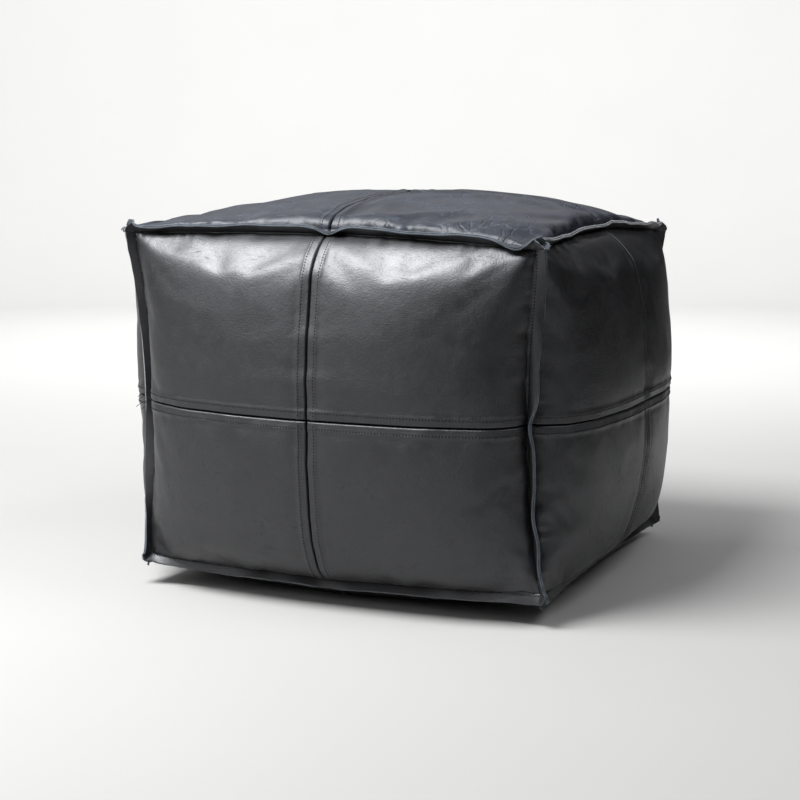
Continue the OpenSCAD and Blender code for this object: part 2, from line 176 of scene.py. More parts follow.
def noise(points, scale, seed=0):
    """Smooth noise from -1 to 1 at (n, 3) points; scale is the size of its lumps, one number or three."""
    p = np.asarray(points, float).reshape(-1, 3) / np.asarray(scale, float)
    low = np.floor(p).astype(np.int64)
    f = p - low
    f = f * f * (3 - 2 * f)
    total = np.zeros(len(p))
    for corner in np.ndindex(2, 2, 2):
        weight = np.prod(np.where(corner, f, 1 - f), axis=1)
        total += weight * lattice(low + np.array(corner), seed)
    return total


def line_noise(x, scale, seed):
    """Smooth noise along one number."""
    x = np.asarray(x, float)
    points = np.zeros((x.size, 3))
    points[:, 0] = x.ravel()
    points[:, 1] = 0.37
    return noise(points, scale, seed).reshape(x.shape)


def ridges(values):
    """Sharp crests with round valleys, from noise."""
    return 1 - 2 * np.abs(values)


def rise(x, start, end):
    """Smooth step from 0 at start to 1 at end."""
    r = np.clip((x - start) / (end - start), 0, 1)
    return r * r * (3 - 2 * r)


def unit(v):
    return v / np.maximum(np.linalg.norm(v, axis=-1, keepdims=True), 1e-12)


def bow(s):
    """1 in the middle and 0 at -1 and 1."""
    return 1 - s * s


def bell(x, width):
    """1 at 0, falling off smoothly over the width on both sides."""
    return np.exp(-((x / width) ** 2))


def crossed(first, second):
    """Two rows of numbers spread over a grid."""
    return np.meshgrid(first, second, indexing="ij")


def grid_quads(index):
    """The quads between neighbours in a grid of vertex numbers."""
    corners = [index[:-1, :-1], index[1:, :-1], index[1:, 1:], index[:-1, 1:]]
    return np.stack(corners, axis=-1).reshape(-1, 4)


def fullness(s, power):
    """1 in the middle and 0 at both ends, the squarer the smaller the power."""
    return np.maximum(bow(s), 0) ** power


def turned(points, turn):
    """Points of the front side moved round to side number turn."""
    c, s = ((1, 0), (0, 1), (-1, 0), (0, -1))[turn % 4]
    x, y = points[..., 0], points[..., 1]
    return np.stack([c * x - s * y, s * x + c * y, points[..., 2]], axis=-1)


# ---------------------------------------------------------------- form of the stuffed casing

# How squarely each face fills out: the smaller, the flatter its middle
SIDE_FULLNESS = 0.442
TOP_FULLNESS = 0.325
BASE_FULLNESS = 0.5
# How far the base would hang below its corners if the floor let it
BASE_SAG = 0.046
# The cloth simulation: cells across a face, frames, farthest move and when two points are one
FORM_CELLS = 56
SETTLE_FRAMES = 26
FARTHEST_MOVE = 0.0045
SAME_PLACE = 2e-5
# What the corners of the casing have moved with use, by the signs of x, y and z
CORNER_SHIFTS = {
    (-1, -1, 1): (0.0010, 0.0, 0.0050),
    (1, -1, 1): (-0.0020, 0.0, -0.0045),
    (1, 1, 1): (-0.0030, -0.0010, -0.0030),
    (-1, 1, 1): (0.0, 0.0, 0.0020),
    (-1, -1, -1): (0.0100, 0.0040, 0.0075),
    (1, -1, -1): (0.0050, 0.0030, 0.0085),
    (1, 1, -1): (-0.0030, -0.0020, -0.0010),
    (-1, 1, -1): (0.0030, -0.0020, 0.0020),
}


class Form:
    """The stuffed casing's outer surface: a point for each face at u, v from -1 to 1.

    u and v are shares of the way across a face, evened out so that equal steps are about
    equal lengths of leather. Settled holds what the cloth simulation moved.
    """

    def __init__(self):
        size = sizes()
        self.half = size.seam_width / 2
        self.low = size.corner_lift
        self.tall = size.seam_height
        self.middle = self.low + self.tall / 2
        self.settled = {}
        even = np.linspace(0, 1, 801)
        shares = np.sin(even * math.pi / 2)
        zero = np.zeros_like(shares)
        self.even = {}
        self.reach = {}
        for way, path in (("across", self.side(shares, zero)), ("up", self.side(zero, shares))):
            steps = np.linalg.norm(np.diff(path, axis=0), axis=1)
            run = np.concatenate([[0], np.cumsum(steps)])
            self.reach[way] = run[-1]
            self.even[way] = (run / run[-1], shares)

    def share(self, u, way):
        """Share of the half width or height that lies at evened share u."""
        at, shares = self.even[way]
        return np.sign(u) * np.interp(np.abs(u), at, shares)

    def side(self, s, t, inset=0.0):
        """Point of the front side at shares s of the half width and t of the half height."""
        size = sizes()
        half = self.half - inset
        draw = size.upright_draw * bow(t) + size.edge_draw * bow(s)
        puff = size.side_bulge + size.upright_draw + size.edge_draw
        puff = puff * fullness(s, SIDE_FULLNESS) * fullness(t, SIDE_FULLNESS)
        lift = np.where(t > 0, size.rim_rise * bow(s), 0)
        x = s * (half - size.upright_draw * bow(t))
        z = self.middle + t * (self.tall / 2 - inset + lift)
        return np.stack([x, -(half - draw + puff), z], axis=-1)

    def flat_place(self, s, t, inset=0.0):
        draw, half = sizes().edge_draw, self.half - inset
        return s * (half - draw * bow(t)), t * (half - draw * bow(s))

    def top(self, s, t, inset=0.0):
        size = sizes()
        x, y = self.flat_place(s, t, inset)
        puff = (size.crown - 2 * size.rim_rise) * fullness(s, TOP_FULLNESS) * fullness(t, TOP_FULLNESS)
        z = self.low + self.tall - inset + size.rim_rise * (bow(s) + bow(t)) + puff
        return np.stack([x, y, z], axis=-1)

    def slump(self, points):
        """How the used casing has shifted, from what each corner has moved."""
        place = (points - (0, 0, self.middle)) / (self.half, self.half, self.tall / 2)
        place[..., 2] = np.clip(place[..., 2], -1, 1)
        moved = 0
        for (x, y, z), shift in CORNER_SHIFTS.items():
            weight = np.clip(place[..., 0] * x, 0, 1) ** 1.3 * np.clip(place[..., 1] * y, 0, 1) ** 1.3
            weight = weight * ((1 + z * place[..., 2]) / 2) ** (1.0 if z > 0 else 3.0)
            moved = moved + weight[..., None] * np.array(shift)
        return moved

    def base(self, s, t):
        x, y = self.flat_place(s, t)
        hang = self.low - BASE_SAG * fullness(s, BASE_FULLNESS) * fullness(t, BASE_FULLNESS)
        zip_edge = sizes().zip_opening + 0.0105
        across = 1 - rise(np.abs(y), zip_edge + 0.001, zip_edge + 0.040)
        along = 1 - rise(np.abs(x), ZIP.flat_reach, ZIP.flat_reach + 0.025)
        seam = 0.002 * np.maximum(across, 1 - rise(np.abs(x), 0.0115, 0.0405))
        z = np.maximum.reduce([np.zeros_like(x), hang, ZIP.recess * across * along, seam])
        return np.stack([x, y, z], axis=-1)

    def raw(self, face, u, v):
        """Point of the smooth form, before the cloth settles."""
        u, v = np.broadcast_arrays(np.asarray(u, float), np.asarray(v, float))
        if face == TOP:
            found = self.top(self.share(u, "across"), self.share(v, "across"))
        elif face == BASE:
            found = self.base(self.share(u, "across"), self.share(v, "across"))
        else:
            found = turned(self.side(self.share(u, "across"), self.share(v, "up")), SIDES.index(face))
        return found + self.slump(found)

    def point(self, face, u, v):
        return self.raw(face, u, v) + self.settling(face, u, v)

    def settling(self, face, u, v):
        """What the cloth simulation moved at u, v."""
        if face not in self.settled:
            return 0.0
        return spline(self.settled[face], u, v)

    def evened(self, s, way):
        """Evened share at share s of the half width or height."""
        at, shares = self.even[way]
        return np.sign(s) * np.interp(np.abs(s), shares, at)

    def length_of(self, face, way):
        """Length of leather from the middle of a face to its edge."""
        return self.reach["up" if way == 1 and face in SIDES else "across"]


def spline(grid, u, v):
    """Smooth B-spline through a square grid of vectors over u, v from -1 to 1."""
    u, v = np.broadcast_arrays(np.asarray(u, float), np.asarray(v, float))
    cells = grid.shape[0] - 1
    result = 0

    def weights(share):
        place = np.clip((share + 1) / 2 * cells, 0, cells - 1e-9)
        low = np.floor(place).astype(int)
        f = place - low
        return low, (
            (1 - f) ** 3 / 6,
            (3 * f**3 - 6 * f**2 + 4) / 6,
            (-3 * f**3 + 3 * f**2 + 3 * f + 1) / 6,
            f**3 / 6,
        )

    low_u, weight_u = weights(u)
    low_v, weight_v = weights(v)
    padded = np.pad(grid, ((1, 1), (1, 1), (0, 0)), mode="reflect", reflect_type="odd")
    for a in range(4):
        for b in range(4):
            share = (weight_u[a] * weight_v[b])[..., None]
            result = result + share * padded[low_u + a, low_v + b]
    return result


def settle_cover(form):
    """Lets a blank of the casing pucker between its seams under pressure, and keeps what it moved.

    The blank is cut a little too large for the form, is held at its edge seams and its base,
    and is only loosely held at the cross seams and between them.
    """
    share = np.linspace(-1, 1, FORM_CELLS + 1)
    u, v = crossed(share, share)
    size = u.size
    index = np.arange(size).reshape(u.shape)
    quads = grid_quads(index)
    points = np.concatenate([form.raw(face, u, v).reshape(-1, 3) for face in FACES])
    held_side = np.where(np.maximum(np.abs(u), np.abs(v)) > 0.999, 1.0, 0.0)
    cross = bell(np.minimum(np.abs(u), np.abs(v)), 0.05)
    loose = np.maximum(held_side, 0.05 + 0.25 * cross).ravel()
    held = np.concatenate([np.ones(size) if face == BASE else loose for face in FACES])
    cells = np.round(points / SAME_PLACE).astype(np.int64)
    _, first, back = np.unique(cells, axis=0, return_index=True, return_inverse=True)
    back = back.ravel()
    faces = [quads[:, ::-1] if face == BASE else quads for face in FACES]
    faces = np.concatenate([back[part + k * size] for k, part in enumerate(faces)])
    mesh = bpy.data.meshes.new("blank")
    fill_mesh(mesh, points[first], faces)
    blank = add_object("blank", mesh)
    group = blank.vertex_groups.new(name="held")
    for number, vertex in enumerate(first):
        group.add([number], float(held[vertex]), "REPLACE")
    cloth = blank.modifiers.new("cloth", "CLOTH")
    setting = cloth.settings
    setting.quality, setting.mass, setting.air_damping = 6, 0.35, 2.0
    setting.tension_stiffness = setting.compression_stiffness = 30.0
    setting.shear_stiffness, setting.bending_stiffness = 12.0, 1.2
    setting.tension_damping = setting.compression_damping = setting.shear_damping = 8.0
    setting.vertex_group_mass, setting.pin_stiffness = "held", 1.2
    setting.shrink_min = -0.011
    setting.use_pressure, setting.uniform_pressure_force = True, 7.0
    setting.effector_weights.gravity = 0.15
    cloth.collision_settings.use_collision = False
    cloth.point_cache.frame_start, cloth.point_cache.frame_end = 1, SETTLE_FRAMES
    for moment in range(1, SETTLE_FRAMES + 1):
        bpy.context.scene.frame_set(moment)
    settled = blank.evaluated_get(bpy.context.evaluated_depsgraph_get()).data
    found = np.empty(len(settled.vertices) * 3, np.float32)
    settled.vertices.foreach_get("co", found)
    moved = found.reshape(-1, 3)[back] - points
    far = np.linalg.norm(moved, axis=1, keepdims=True)
    moved = moved * (FARTHEST_MOVE * np.tanh(far / FARTHEST_MOVE) / np.maximum(far, 1e-9))
    if not 0.0003 < far.max() < 0.08:
        raise RuntimeError(f"the cover did not settle: it moved {far.max():.4f} m")
    for k, face in enumerate(FACES):
        form.settled[face] = moved[k * size : (k + 1) * size].reshape(*u.shape, 3)
    bpy.data.objects.remove(blank)
    bpy.context.scene.frame_set(1)


# ---------------------------------------------------------------- zip levels, from the frame


class ZipLevels:
    """Where the frame puts the zip."""

    def __init__(self):
        tape_low, tape_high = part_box("zip_tape_front")
        _, stop_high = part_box("zip_open_end_stop")
        self.end = stop_high.x
        self.fade = tape_high.x - stop_high.x
        leather, clearance, beyond = 0.0015, 0.0001, 0.026
        self.recess = tape_low.z - 2 * leather - clearance
        self.flat_reach = self.end + beyond

    def half_opening(self, x):
        """Half the gap between the base's leather edges at x."""
        open_share = np.clip((self.end + self.fade - np.abs(x)) / self.fade, 0, 1)
        closed = 0.0004
        return closed + (sizes().zip_opening - closed) * open_share


ZIP = ZipLevels()


# ---------------------------------------------------------------- edge seams

# Each edge seam is (kind, turn): a rim or hem runs along side number turn, and upright number
# turn stands between that side and the next one.
RIM_TILT = math.radians(33)
HEM_TILT = math.radians(62)
# How far the two layers of a raw edge stand from its middle
LAYER = 0.0016
# Bends in the raw edges beyond their small waves, by seam: (share along, reach, angle)
KINKS = {
    ("rim", 0): (
        (-1.0, 0.06, 0.75), (-0.80, 0.10, -0.25), (0.02, 0.05, -0.45), (0.84, 0.08, -0.75), (0.97, 0.04, 0.5)
    ),
    ("rim", 1): (
        (-0.93, 0.07, 0.5), (-0.55, 0.12, -0.3), (0.1, 0.08, 0.35), (0.75, 0.10, 0.35), (1.0, 0.07, 0.6)
    ),
    ("upright", 0): ((0.55, 0.40, 1.00), (0.0, 0.10, -0.4), (-0.55, 0.35, -0.45)),
    ("upright", 3): ((0.85, 0.2, 0.3), (0.0, 0.3, -0.3), (-0.8, 0.15, 0.4)),
    ("hem", 0): ((-0.95, 0.08, -0.5), (0.0, 0.06, 0.2), (0.9, 0.1, 0.2)),
}


class EdgeSeam:
    """One edge seam: its line, the way its raw edges stand out, and how they wave."""

    def __init__(self, form, kind, turn):
        self.form, self.kind, self.turn = form, kind, turn
        self.seed = {"rim": 11, "hem": 31, "upright": 51}[kind] + turn
        if kind == "upright":
            slant = math.sqrt(0.5)
            out, square_on = (slant, -slant, 0), (slant, slant, 0)
        else:
            tilt, up = (RIM_TILT, 1) if kind == "rim" else (HEM_TILT, -1)
            out = (0, -math.cos(tilt), up * math.sin(tilt))
            square_on = (0, math.sin(tilt), up * math.cos(tilt))
        self.out = turned(np.array(out, float), turn)
        self.square_on = turned(np.array(square_on, float), turn)

    def line(self, q):
        """The seam itself at share q from -1 to 1."""
        face = SIDES[self.turn]
        if self.kind == "upright":
            return self.form.point(face, np.ones_like(q), q)
        return self.form.point(face, q, np.full_like(q, 1.0 if self.kind == "rim" else -1.0))

    def along(self, q):
        """Distance along the seam from its middle."""
        reach = self.form.tall / 2 if self.kind == "upright" else self.form.half
        return np.asarray(q) * reach

    def width(self, q):
        """Width of the raw edge, unevenly cut."""
        x = self.along(q)
        wander = 0.07 * line_noise(x, 0.055, self.seed) + 0.03 * line_noise(x, 0.009, self.seed + 3)
        return sizes().raw_edge * (1 + wander)

    def sway(self, q):
        """Angle by which the raw edges lean over their square-on side."""
        x = self.along(q)
        depth = {"rim": 0.30, "hem": 0.20, "upright": 0.42}[self.kind]
        lean = depth * line_noise(x, 0.070, self.seed + 7)
        lean = lean + 0.55 * depth * line_noise(x, 0.026, self.seed + 9)
        for place, reach, angle in KINKS.get((self.kind, self.turn), ()):
            lean = lean + angle * bell(q - place, reach)
        return lean

    def reach_out(self, q, w):
        """Way from the seam to the raw edges' middle at width w, and the way square to them there."""
        lean = self.sway(q)[..., None]
        w = np.asarray(w)[..., None]
        curl = lean * (0.55 + 0.45 * w / sizes().raw_edge)
        ahead = self.out * np.cos(curl) + self.square_on * np.sin(curl)
        return w * ahead, self.square_on * np.cos(curl) - self.out * np.sin(curl)


class Seams:
    """All twelve edge seams, found by the face and the edge of it that they run along."""

    def __init__(self, form):
        kinds = ("rim", "hem", "upright")
        self.all = {(kind, turn): EdgeSeam(form, kind, turn) for kind in kinds for turn in range(4)}

    def at(self, face, way, sign):
        """(seam, sign of its share, side of its middle) on edge u = sign (way 0) or v = sign (way 1)."""
        if face in (TOP, BASE):
            kind, layer = ("rim", 1) if face == TOP else ("hem", 1)
            turn = (1 if sign > 0 else 3) if way == 0 else (2 if sign > 0 else 0)
            forward = 1 if turn in (0, 1) else -1
            return self.all[kind, turn], forward, layer
        turn = SIDES.index(face)
        if way == 1:
            return self.all["rim" if sign > 0 else "hem", turn], 1, -1
        if sign > 0:
            return self.all["upright", turn], 1, -1
        return self.all["upright", (turn - 1) % 4], 1, 1


# ---------------------------------------------------------------- leather panels

# Where the mesh lines lie: millimetres from the cross seam, millimetres from the edge, and shares of the
# raw edge's width
SEAM_LINES = (
    0.0, 0.4, 0.8, 1.2, 1.7, 2.5, 3.6, 4.8, 6.0, 6.9, 7.5, 7.8, 8.2, 8.5, 9.1, 9.6, 10.2, 11.0, 12.6, 15.0
)
FOLD_LINES = (15.0, 12.4, 10.0, 8.0, 6.4, 5.2, 4.4)
RAW_LINES = (0.10, 0.17, 0.28, 0.42, 0.57, 0.72, 0.86, 0.96, 1.0)
# Width of the doubled leather beside a cross seam
BAND = 0.0094


def mesh_lines(reach, step):
    """Evened shares and raw-edge shares of a panel's mesh lines, from its cross seam outwards."""
    start = np.array(SEAM_LINES) / 1000
    end = reach - np.array(FOLD_LINES) / 1000
    count = max(2, int(round((end[0] - start[-1]) / step)))
    middle = np.linspace(start[-1], end[0], count + 1)[1:-1]
    on_face = np.concatenate([start, middle, end]) / reach
    shares = np.concatenate([on_face, np.ones(len(RAW_LINES))])
    raw = np.concatenate([np.zeros(len(on_face)), RAW_LINES])
    return shares, raw


class Panel:
    """One quarter of a face: sign_u and sign_v say which."""

    def __init__(self, shared, face, sign_u, sign_v):
        self.form, self.face = shared.form, face
        self.signs = (sign_u, sign_v)
        self.edges = [shared.seams.at(face, way, sign) for way, sign in enumerate(self.signs)]
        self.reach = [self.form.length_of(face, way) for way in (0, 1)]

    def place(self, a, b):
        """Signed u and v of unsigned shares a and b, leaving the seam's gap open."""
        gap = 0.00009
        lowest = np.full_like(b, gap / self.reach[1])
        if self.face == BASE:
            lowest = ZIP.half_opening(a * self.form.half) / self.form.half
            b = np.where(b < 0.2, b + lowest * (1 - b / 0.2), b)
        a = np.maximum(a, gap / self.reach[0])
        b = np.maximum(b, lowest)
        return self.signs[0] * a, self.signs[1] * b

    def bare(self, a, b):
        u, v = self.place(a, b)
        return self.form.point(self.face, u, v)

    def outward(self, a, b):
        """Outward normal of the form at shares a and b."""
        d = 0.004
        a, b = np.clip(a, 2 * d, 1 - 2 * d), np.clip(b, 2 * d, 1 - 2 * d)

        def point(a, b):
            return self.form.point(self.face, self.signs[0] * a, self.signs[1] * b)

        normal = np.cross(point(a + d, b) - point(a - d, b), point(a, b + d) - point(a, b - d))
        return unit(normal) * self.signs[0] * self.signs[1] * (-1 if self.face == BASE else 1)

    def relief(self, a, b, points):
        """Height of the leather over the form: seam bands, stitch furrows, puckers and folds."""
        row = sizes().stitch_row
        total = np.zeros(a.shape)
        quiet = 0.35 if self.face == BASE else 1.0
        for share, other, way in ((a, b, 0), (b, a, 1)):
            across = share * self.reach[way]
            along = other * self.reach[1 - way] * self.signs[1 - way]
            edge = (1 - share) * self.reach[way]
            seed = 100 + 7 * FACES.index(self.face) + way
            wander = 0.0004 * line_noise(along, 0.03, seed + 1)
            band = 1 - rise(across + wander, BAND - 0.0010, BAND + 0.0034)
            total += 0.00075 * band * (1 - 0.35 * bell(across - 0.0045, 0.0028))
            total -= 0.0030 * bell(across, 0.00088) + 0.0003 * bell(across, 0.003)
            total -= 0.00022 * bell(across - row, 0.0006)
            total -= 0.00015 * bell(across - BAND - 0.004, 0.003)
            ripple = line_noise(along, 0.0085, seed + self.signs[way] * 3)
            total += quiet * 0.00035 * ripple * bell(across - 0.0105, 0.005)
            pucker = 0.6 * ridges(line_noise(along, 0.010, seed + 21))
            pucker = pucker + 0.4 * line_noise(along, 0.0055, seed + 25)
            patchy = 0.35 + 0.65 * rise(line_noise(along, 0.06, seed + 29), -0.5, 0.6)
            deep = 0.0030 if self.face == TOP else 0.0015
            total += quiet * deep * pucker * patchy * bell(edge - 0.006, 0.0125)
        folds = noise(points, (0.10, 0.10, 0.07), 5).reshape(a.shape)
        creases = ridges(noise(points, (0.055, 0.055, 0.035), 9)).reshape(a.shape)
        inner = rise(1 - a, 0.0, 0.12) * rise(1 - b, 0.0, 0.12)
        total += quiet * inner * (0.0016 * folds + 0.0005 * creases)
        return total

    def surface(self, a, b):
        """Grain side of the leather at shares a and b, up to the edge folds."""
        points = self.bare(a, b)
        normals = self.outward(a, b)
        height = self.relief(a, b, points)
        if self.face == BASE:
            height = np.where(points[..., 2] < 0.004, np.minimum(height, 0), height)
        moved = points + normals * height[..., None]
        if self.face == BASE:
            moved[..., 2] = np.maximum(moved[..., 2], 0)
        return moved

    def raw_edge(self, way, other, w):
        """Grain side of this panel's layer of a raw edge, at share other along it."""
        seam, forward, layer = self.edges[way]
        q = forward * self.signs[1 - way] * other
        out, square_on = seam.reach_out(q, w * seam.width(q))
        return seam.line(q), out, square_on * layer

    def grid(self):
        """Grain side of the whole panel as a grid of points, and the shares a and b it is at."""
        step = sizes().mesh_step
        a, raw_a = mesh_lines(self.reach[0], step)
        b, raw_b = mesh_lines(self.reach[1], step)
        a, b = crossed(a, b)
        raw_a, raw_b = crossed(raw_a, raw_b)
        points = self.surface(a, b)
        line_a, out_a, side_a = self.raw_edge(0, b, raw_a)
        line_b, out_b, side_b = self.raw_edge(1, a, raw_b)
        on_a, on_b = (raw_a > 0)[..., None], (raw_b > 0)[..., None]
        both = (side_a + side_b) / (1 + np.sum(side_a * side_b, axis=-1, keepdims=True))
        offset = np.where(on_a & on_b, both, np.where(on_a, side_a, side_b)) * LAYER
        trimmed = 1 - 0.36 * (raw_a * raw_b)[..., None]
        out = np.where(on_a, out_a, 0) + np.where(on_b, out_b, 0)
        edge = np.where(on_a, line_a, line_b) + out * trimmed
        return np.where(on_a | on_b, edge + offset, points), a, b

    def node(self):
        """The CAD node that this panel stands for."""
        near, far = ("front", "back") if self.face in (TOP, BASE) else ("lower", "upper")
        across, up = self.signs
        return f"{self.face}_{far if up > 0 else near}_{'right' if across > 0 else 'left'}"


def grid_normals(points, facing):
    """Normals of a grid of points, facing the same way as the given rough normals."""
    along = np.gradient(points, axis=0)
    across = np.gradient(points, axis=1)
    normals = unit(np.cross(along, across))
    return normals * np.sign(np.mean(np.sum(normals * facing, axis=-1)) or 1)


def sheet_mesh(name, outer, inner, materials, closed=False):
    """A closed mesh between two grids of points, its flesh side and border in material 1.

    A closed sheet runs round and joins its last row to its first.
    """
    rows, cols = outer.shape[:2]
    count = rows * cols
    index = np.arange(count).reshape(rows, cols)
    if closed:
        index = np.concatenate([index, index[:1]])
        border = np.concatenate([index[:, 0], index[::-1, -1]])
        following = np.concatenate([index[1:, 0], index[:1, 0], index[-2::-1, -1], index[:1, -1]])
        keep = border != following
        border, following = border[keep], following[keep]
    else:
        border = np.concatenate([index[:-1, 0], index[-1, :-1], index[:0:-1, -1], index[0, :0:-1]])
        following = np.roll(border, -1)
    quads = grid_quads(index)
    walls = np.stack([border, border + count, following + count, following], axis=-1)
    faces = np.concatenate([quads, quads[:, ::-1] + count, walls])
    a, b, c = (outer.reshape(-1, 3)[quads[:, k]] for k in (0, 1, 2))
    thick = (outer - inner).reshape(-1, 3)[quads[:, 0]]
    if np.sum(np.cross(b - a, c - a) * thick) < 0:
        faces = faces[:, ::-1]
    mesh = bpy.data.meshes.new(name)
    fill_mesh(mesh, np.concatenate([outer.reshape(-1, 3), inner.reshape(-1, 3)]), faces)
    slots = np.ones(len(faces), np.int32)
    slots[: len(quads)] = 0
    mesh.polygons.foreach_set("material_index", slots)
    for material in materials:
        mesh.materials.append(material)
    return mesh


def fill_mesh(mesh, verts, faces):
    """Puts vertices and quads (rows of four) into an empty mesh."""
    mesh.vertices.add(len(verts))
    mesh.vertices.foreach_set("co", np.asarray(verts, np.float32).ravel())
    mesh.loops.add(len(faces) * 4)
    mesh.loops.foreach_set("vertex_index", np.asarray(faces, np.int32).ravel())
    mesh.polygons.add(len(faces))
    mesh.polygons.foreach_set("loop_start", np.arange(len(faces), dtype=np.int32) * 4)
    mesh.update(calc_edges=True)
    mesh.validate()
    smooth(mesh)


def smooth(mesh):
    mesh.polygons.foreach_set("use_smooth", np.ones(len(mesh.polygons), bool))


def add_piece(mesh, slot, *replaced, material=None, fill=None):
    """An object for a mesh, riding on the casing and standing for CAD nodes; fill is not used."""
    piece = add_object(mesh.name, mesh)
    if material is not None:
        mesh.materials.append(material)
    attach(piece, BODY)
    if replaced:
        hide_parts(*replaced)


def add_object(name, data, place=None, target=None):
    """An object in the scene, standing at a place and looking at a target if they are given."""
    made = bpy.data.objects.new(name, data)
    bpy.context.scene.collection.objects.link(made)
    if place is not None:
        made.location = place
        made.rotation_euler = (Vector(target) - Vector(place)).to_track_quat("-Z", "Y").to_euler()
    return made


def quarters(shared, face):
    """The four panels of a face."""
    return [Panel(shared, face, sign_u, sign_v) for sign_u in (-1, 1) for sign_v in (-1, 1)]


def make_panels(shared, faces, leather):
    """The quarter panels of the given faces, as closed sheets of leather."""
    for face in faces:
        slot = f"{face}_leather" if face in (TOP, BASE) else "side_leather"
        for panel in quarters(shared, face):
            outer, a, b = panel.grid()
            inner = outer - grid_normals(outer, panel.outward(a, b)) * sizes().leather
            name = panel.node()
            mesh = sheet_mesh(name + "_leather", outer, inner, [leather, shared.raw()])
            add_piece(mesh, slot, name, fill=0.9)


# ---------------------------------------------------------------- stitches


def stitch_mesh(name, centres, along, up):
    """Short stitches, each a rounded bar whose ends dive into the leather."""
    size = sizes()
    thick, reach = size.thread / 2, size.stitch_pitch * 0.31
    stations = np.array([-1.0, -0.86, -0.5, 0.0, 0.5, 0.86, 1.0])
    radii = np.array([0.25, 0.75, 1.0, 1.05, 1.0, 0.75, 0.25]) * thick
    sinks = np.array([-1.4, -0.7, 0.05, 0.3, 0.05, -0.7, -1.4]) * thick
    turns = np.linspace(0, 2 * math.pi, 6, endpoint=False)
    along = unit(along)
    side = unit(np.cross(up, along))
    up = np.cross(along, side)
    slant = 0.10
    rings = []
    for station, radius, sink in zip(stations, radii, sinks):
        middle = centres + along * (station * reach) + up * sink + side * (slant * station * reach)
        for turn in turns:
            rings.append(middle + radius * (math.cos(turn) * side + math.sin(turn) * up))
    verts = np.stack(rings, axis=1)
    count, n = len(centres), len(turns)
    one = []
    for k in range(len(stations) - 1):
        for j in range(n):
            i = (j + 1) % n
            one.append((k * n + j, k * n + i, (k + 1) * n + i, (k + 1) * n + j))
    last = (len(stations) - 1) * n
    one += [(0, 5, 4, 3), (0, 3, 2, 1)]
    one += [(last, last + 1, last + 2, last + 3), (last, last + 3, last + 4, last + 5)]
    faces = np.array(one)[None] + (np.arange(count) * verts.shape[1])[:, None, None]
    mesh = bpy.data.meshes.new(name)
    fill_mesh(mesh, verts.reshape(-1, 3), faces.reshape(-1, 4))
    return mesh


def on_path(points, pitch):
    """Indices and shares that put marks one pitch apart along a path of points."""
    run = np.concatenate([[0], np.cumsum(np.linalg.norm(np.diff(points, axis=0), axis=1))])
    count = int(run[-1] / pitch)
    return np.interp((np.arange(count) + 0.5) * run[-1] / count, run, np.arange(len(points)))


def stitch_row(path, ups):
    """Centres, directions and ups of the stitches along a path of points."""
    at = on_path(path, sizes().stitch_pitch)
    index = np.arange(len(path))

    def read(values):
        return np.stack([np.interp(at, index, values[:, k]) for k in range(3)], axis=-1)

    return read(path), read(np.gradient(path, axis=0)), unit(read(ups))


def topstitch_rows(panel):
    """The two topstitched rows of a panel, beside its cross seams."""
    for way in (0, 1):
        beside = sizes().stitch_row / panel.reach[way]
        start = 0.0035 / panel.reach[1 - way]
        if panel.face == BASE and way == 1:
            beside += sizes().zip_opening / panel.reach[way]
        end = 1 - 0.004 / panel.reach[1 - way]
        run = np.linspace(start, end, 260)
        a, b = (np.full_like(run, beside), run) if way == 0 else (run, np.full_like(run, beside))
        yield stitch_row(panel.surface(a, b), panel.outward(a, b))


def edge_rows(seam):
    """The stitches through a raw edge, seen on both of its layers."""
    q = np.linspace(-0.985, 0.985, 320)
    out, square_on = seam.reach_out(q, 0.24 * seam.width(q))
    for layer in (-1, 1):
        yield stitch_row(seam.line(q) + out + square_on * layer * LAYER, square_on * layer)


def loose_ends(seam, material):
    """Short ends of thread left hanging where the side seams meet an upright."""
    tubes = bmesh.new()
    ends = ((0.03, 0.010, 0.5), (0.01, 0.007, -0.7), (-0.02, 0.012, 0.2), (-0.05, 0.006, -0.4))
    for place, reach, swing in ends:
        q = np.full(9, place)
        run = np.linspace(0, 1, 9)
        out, square_on = seam.reach_out(q, 0.85 * seam.width(q))
        fall = np.stack([0 * run, 0 * run, -0.45 * reach * run**2], axis=-1)
        curl = np.sin(run * 2.6)[:, None] * square_on * reach * swing * 0.5
        path = seam.line(q) + out + seam.out * (reach * run)[:, None] + curl + fall
        mesh = tube_mesh("thread_end", path, 0.00028, 6)
        tubes.from_mesh(mesh)
        bpy.data.meshes.remove(mesh)
    mesh = bpy.data.meshes.new("loose_thread_ends")
    tubes.to_mesh(mesh)
    tubes.free()
    add_piece(mesh, "sewing_thread", material=material)


def add_stitches(node, rows, material):
    centres, along, up = (np.concatenate(part) for part in zip(*rows))
    add_piece(stitch_mesh(node + "_thread", centres, along, up), "sewing_thread", node, material=material)


# ---------------------------------------------------------------- liner and filling


def wrinkled(points, middle, depth, scale, seed):
    """Points moved towards the middle by noise, never outwards."""
    flat = points.reshape(-1, 3)
    amount = depth * (0.5 + 0.5 * noise(flat, scale, seed))
    amount = amount + 0.35 * depth * (1 + noise(flat, scale / 3, seed + 1))
    return (flat + unit(middle - flat) * amount[:, None]).reshape(points.shape)


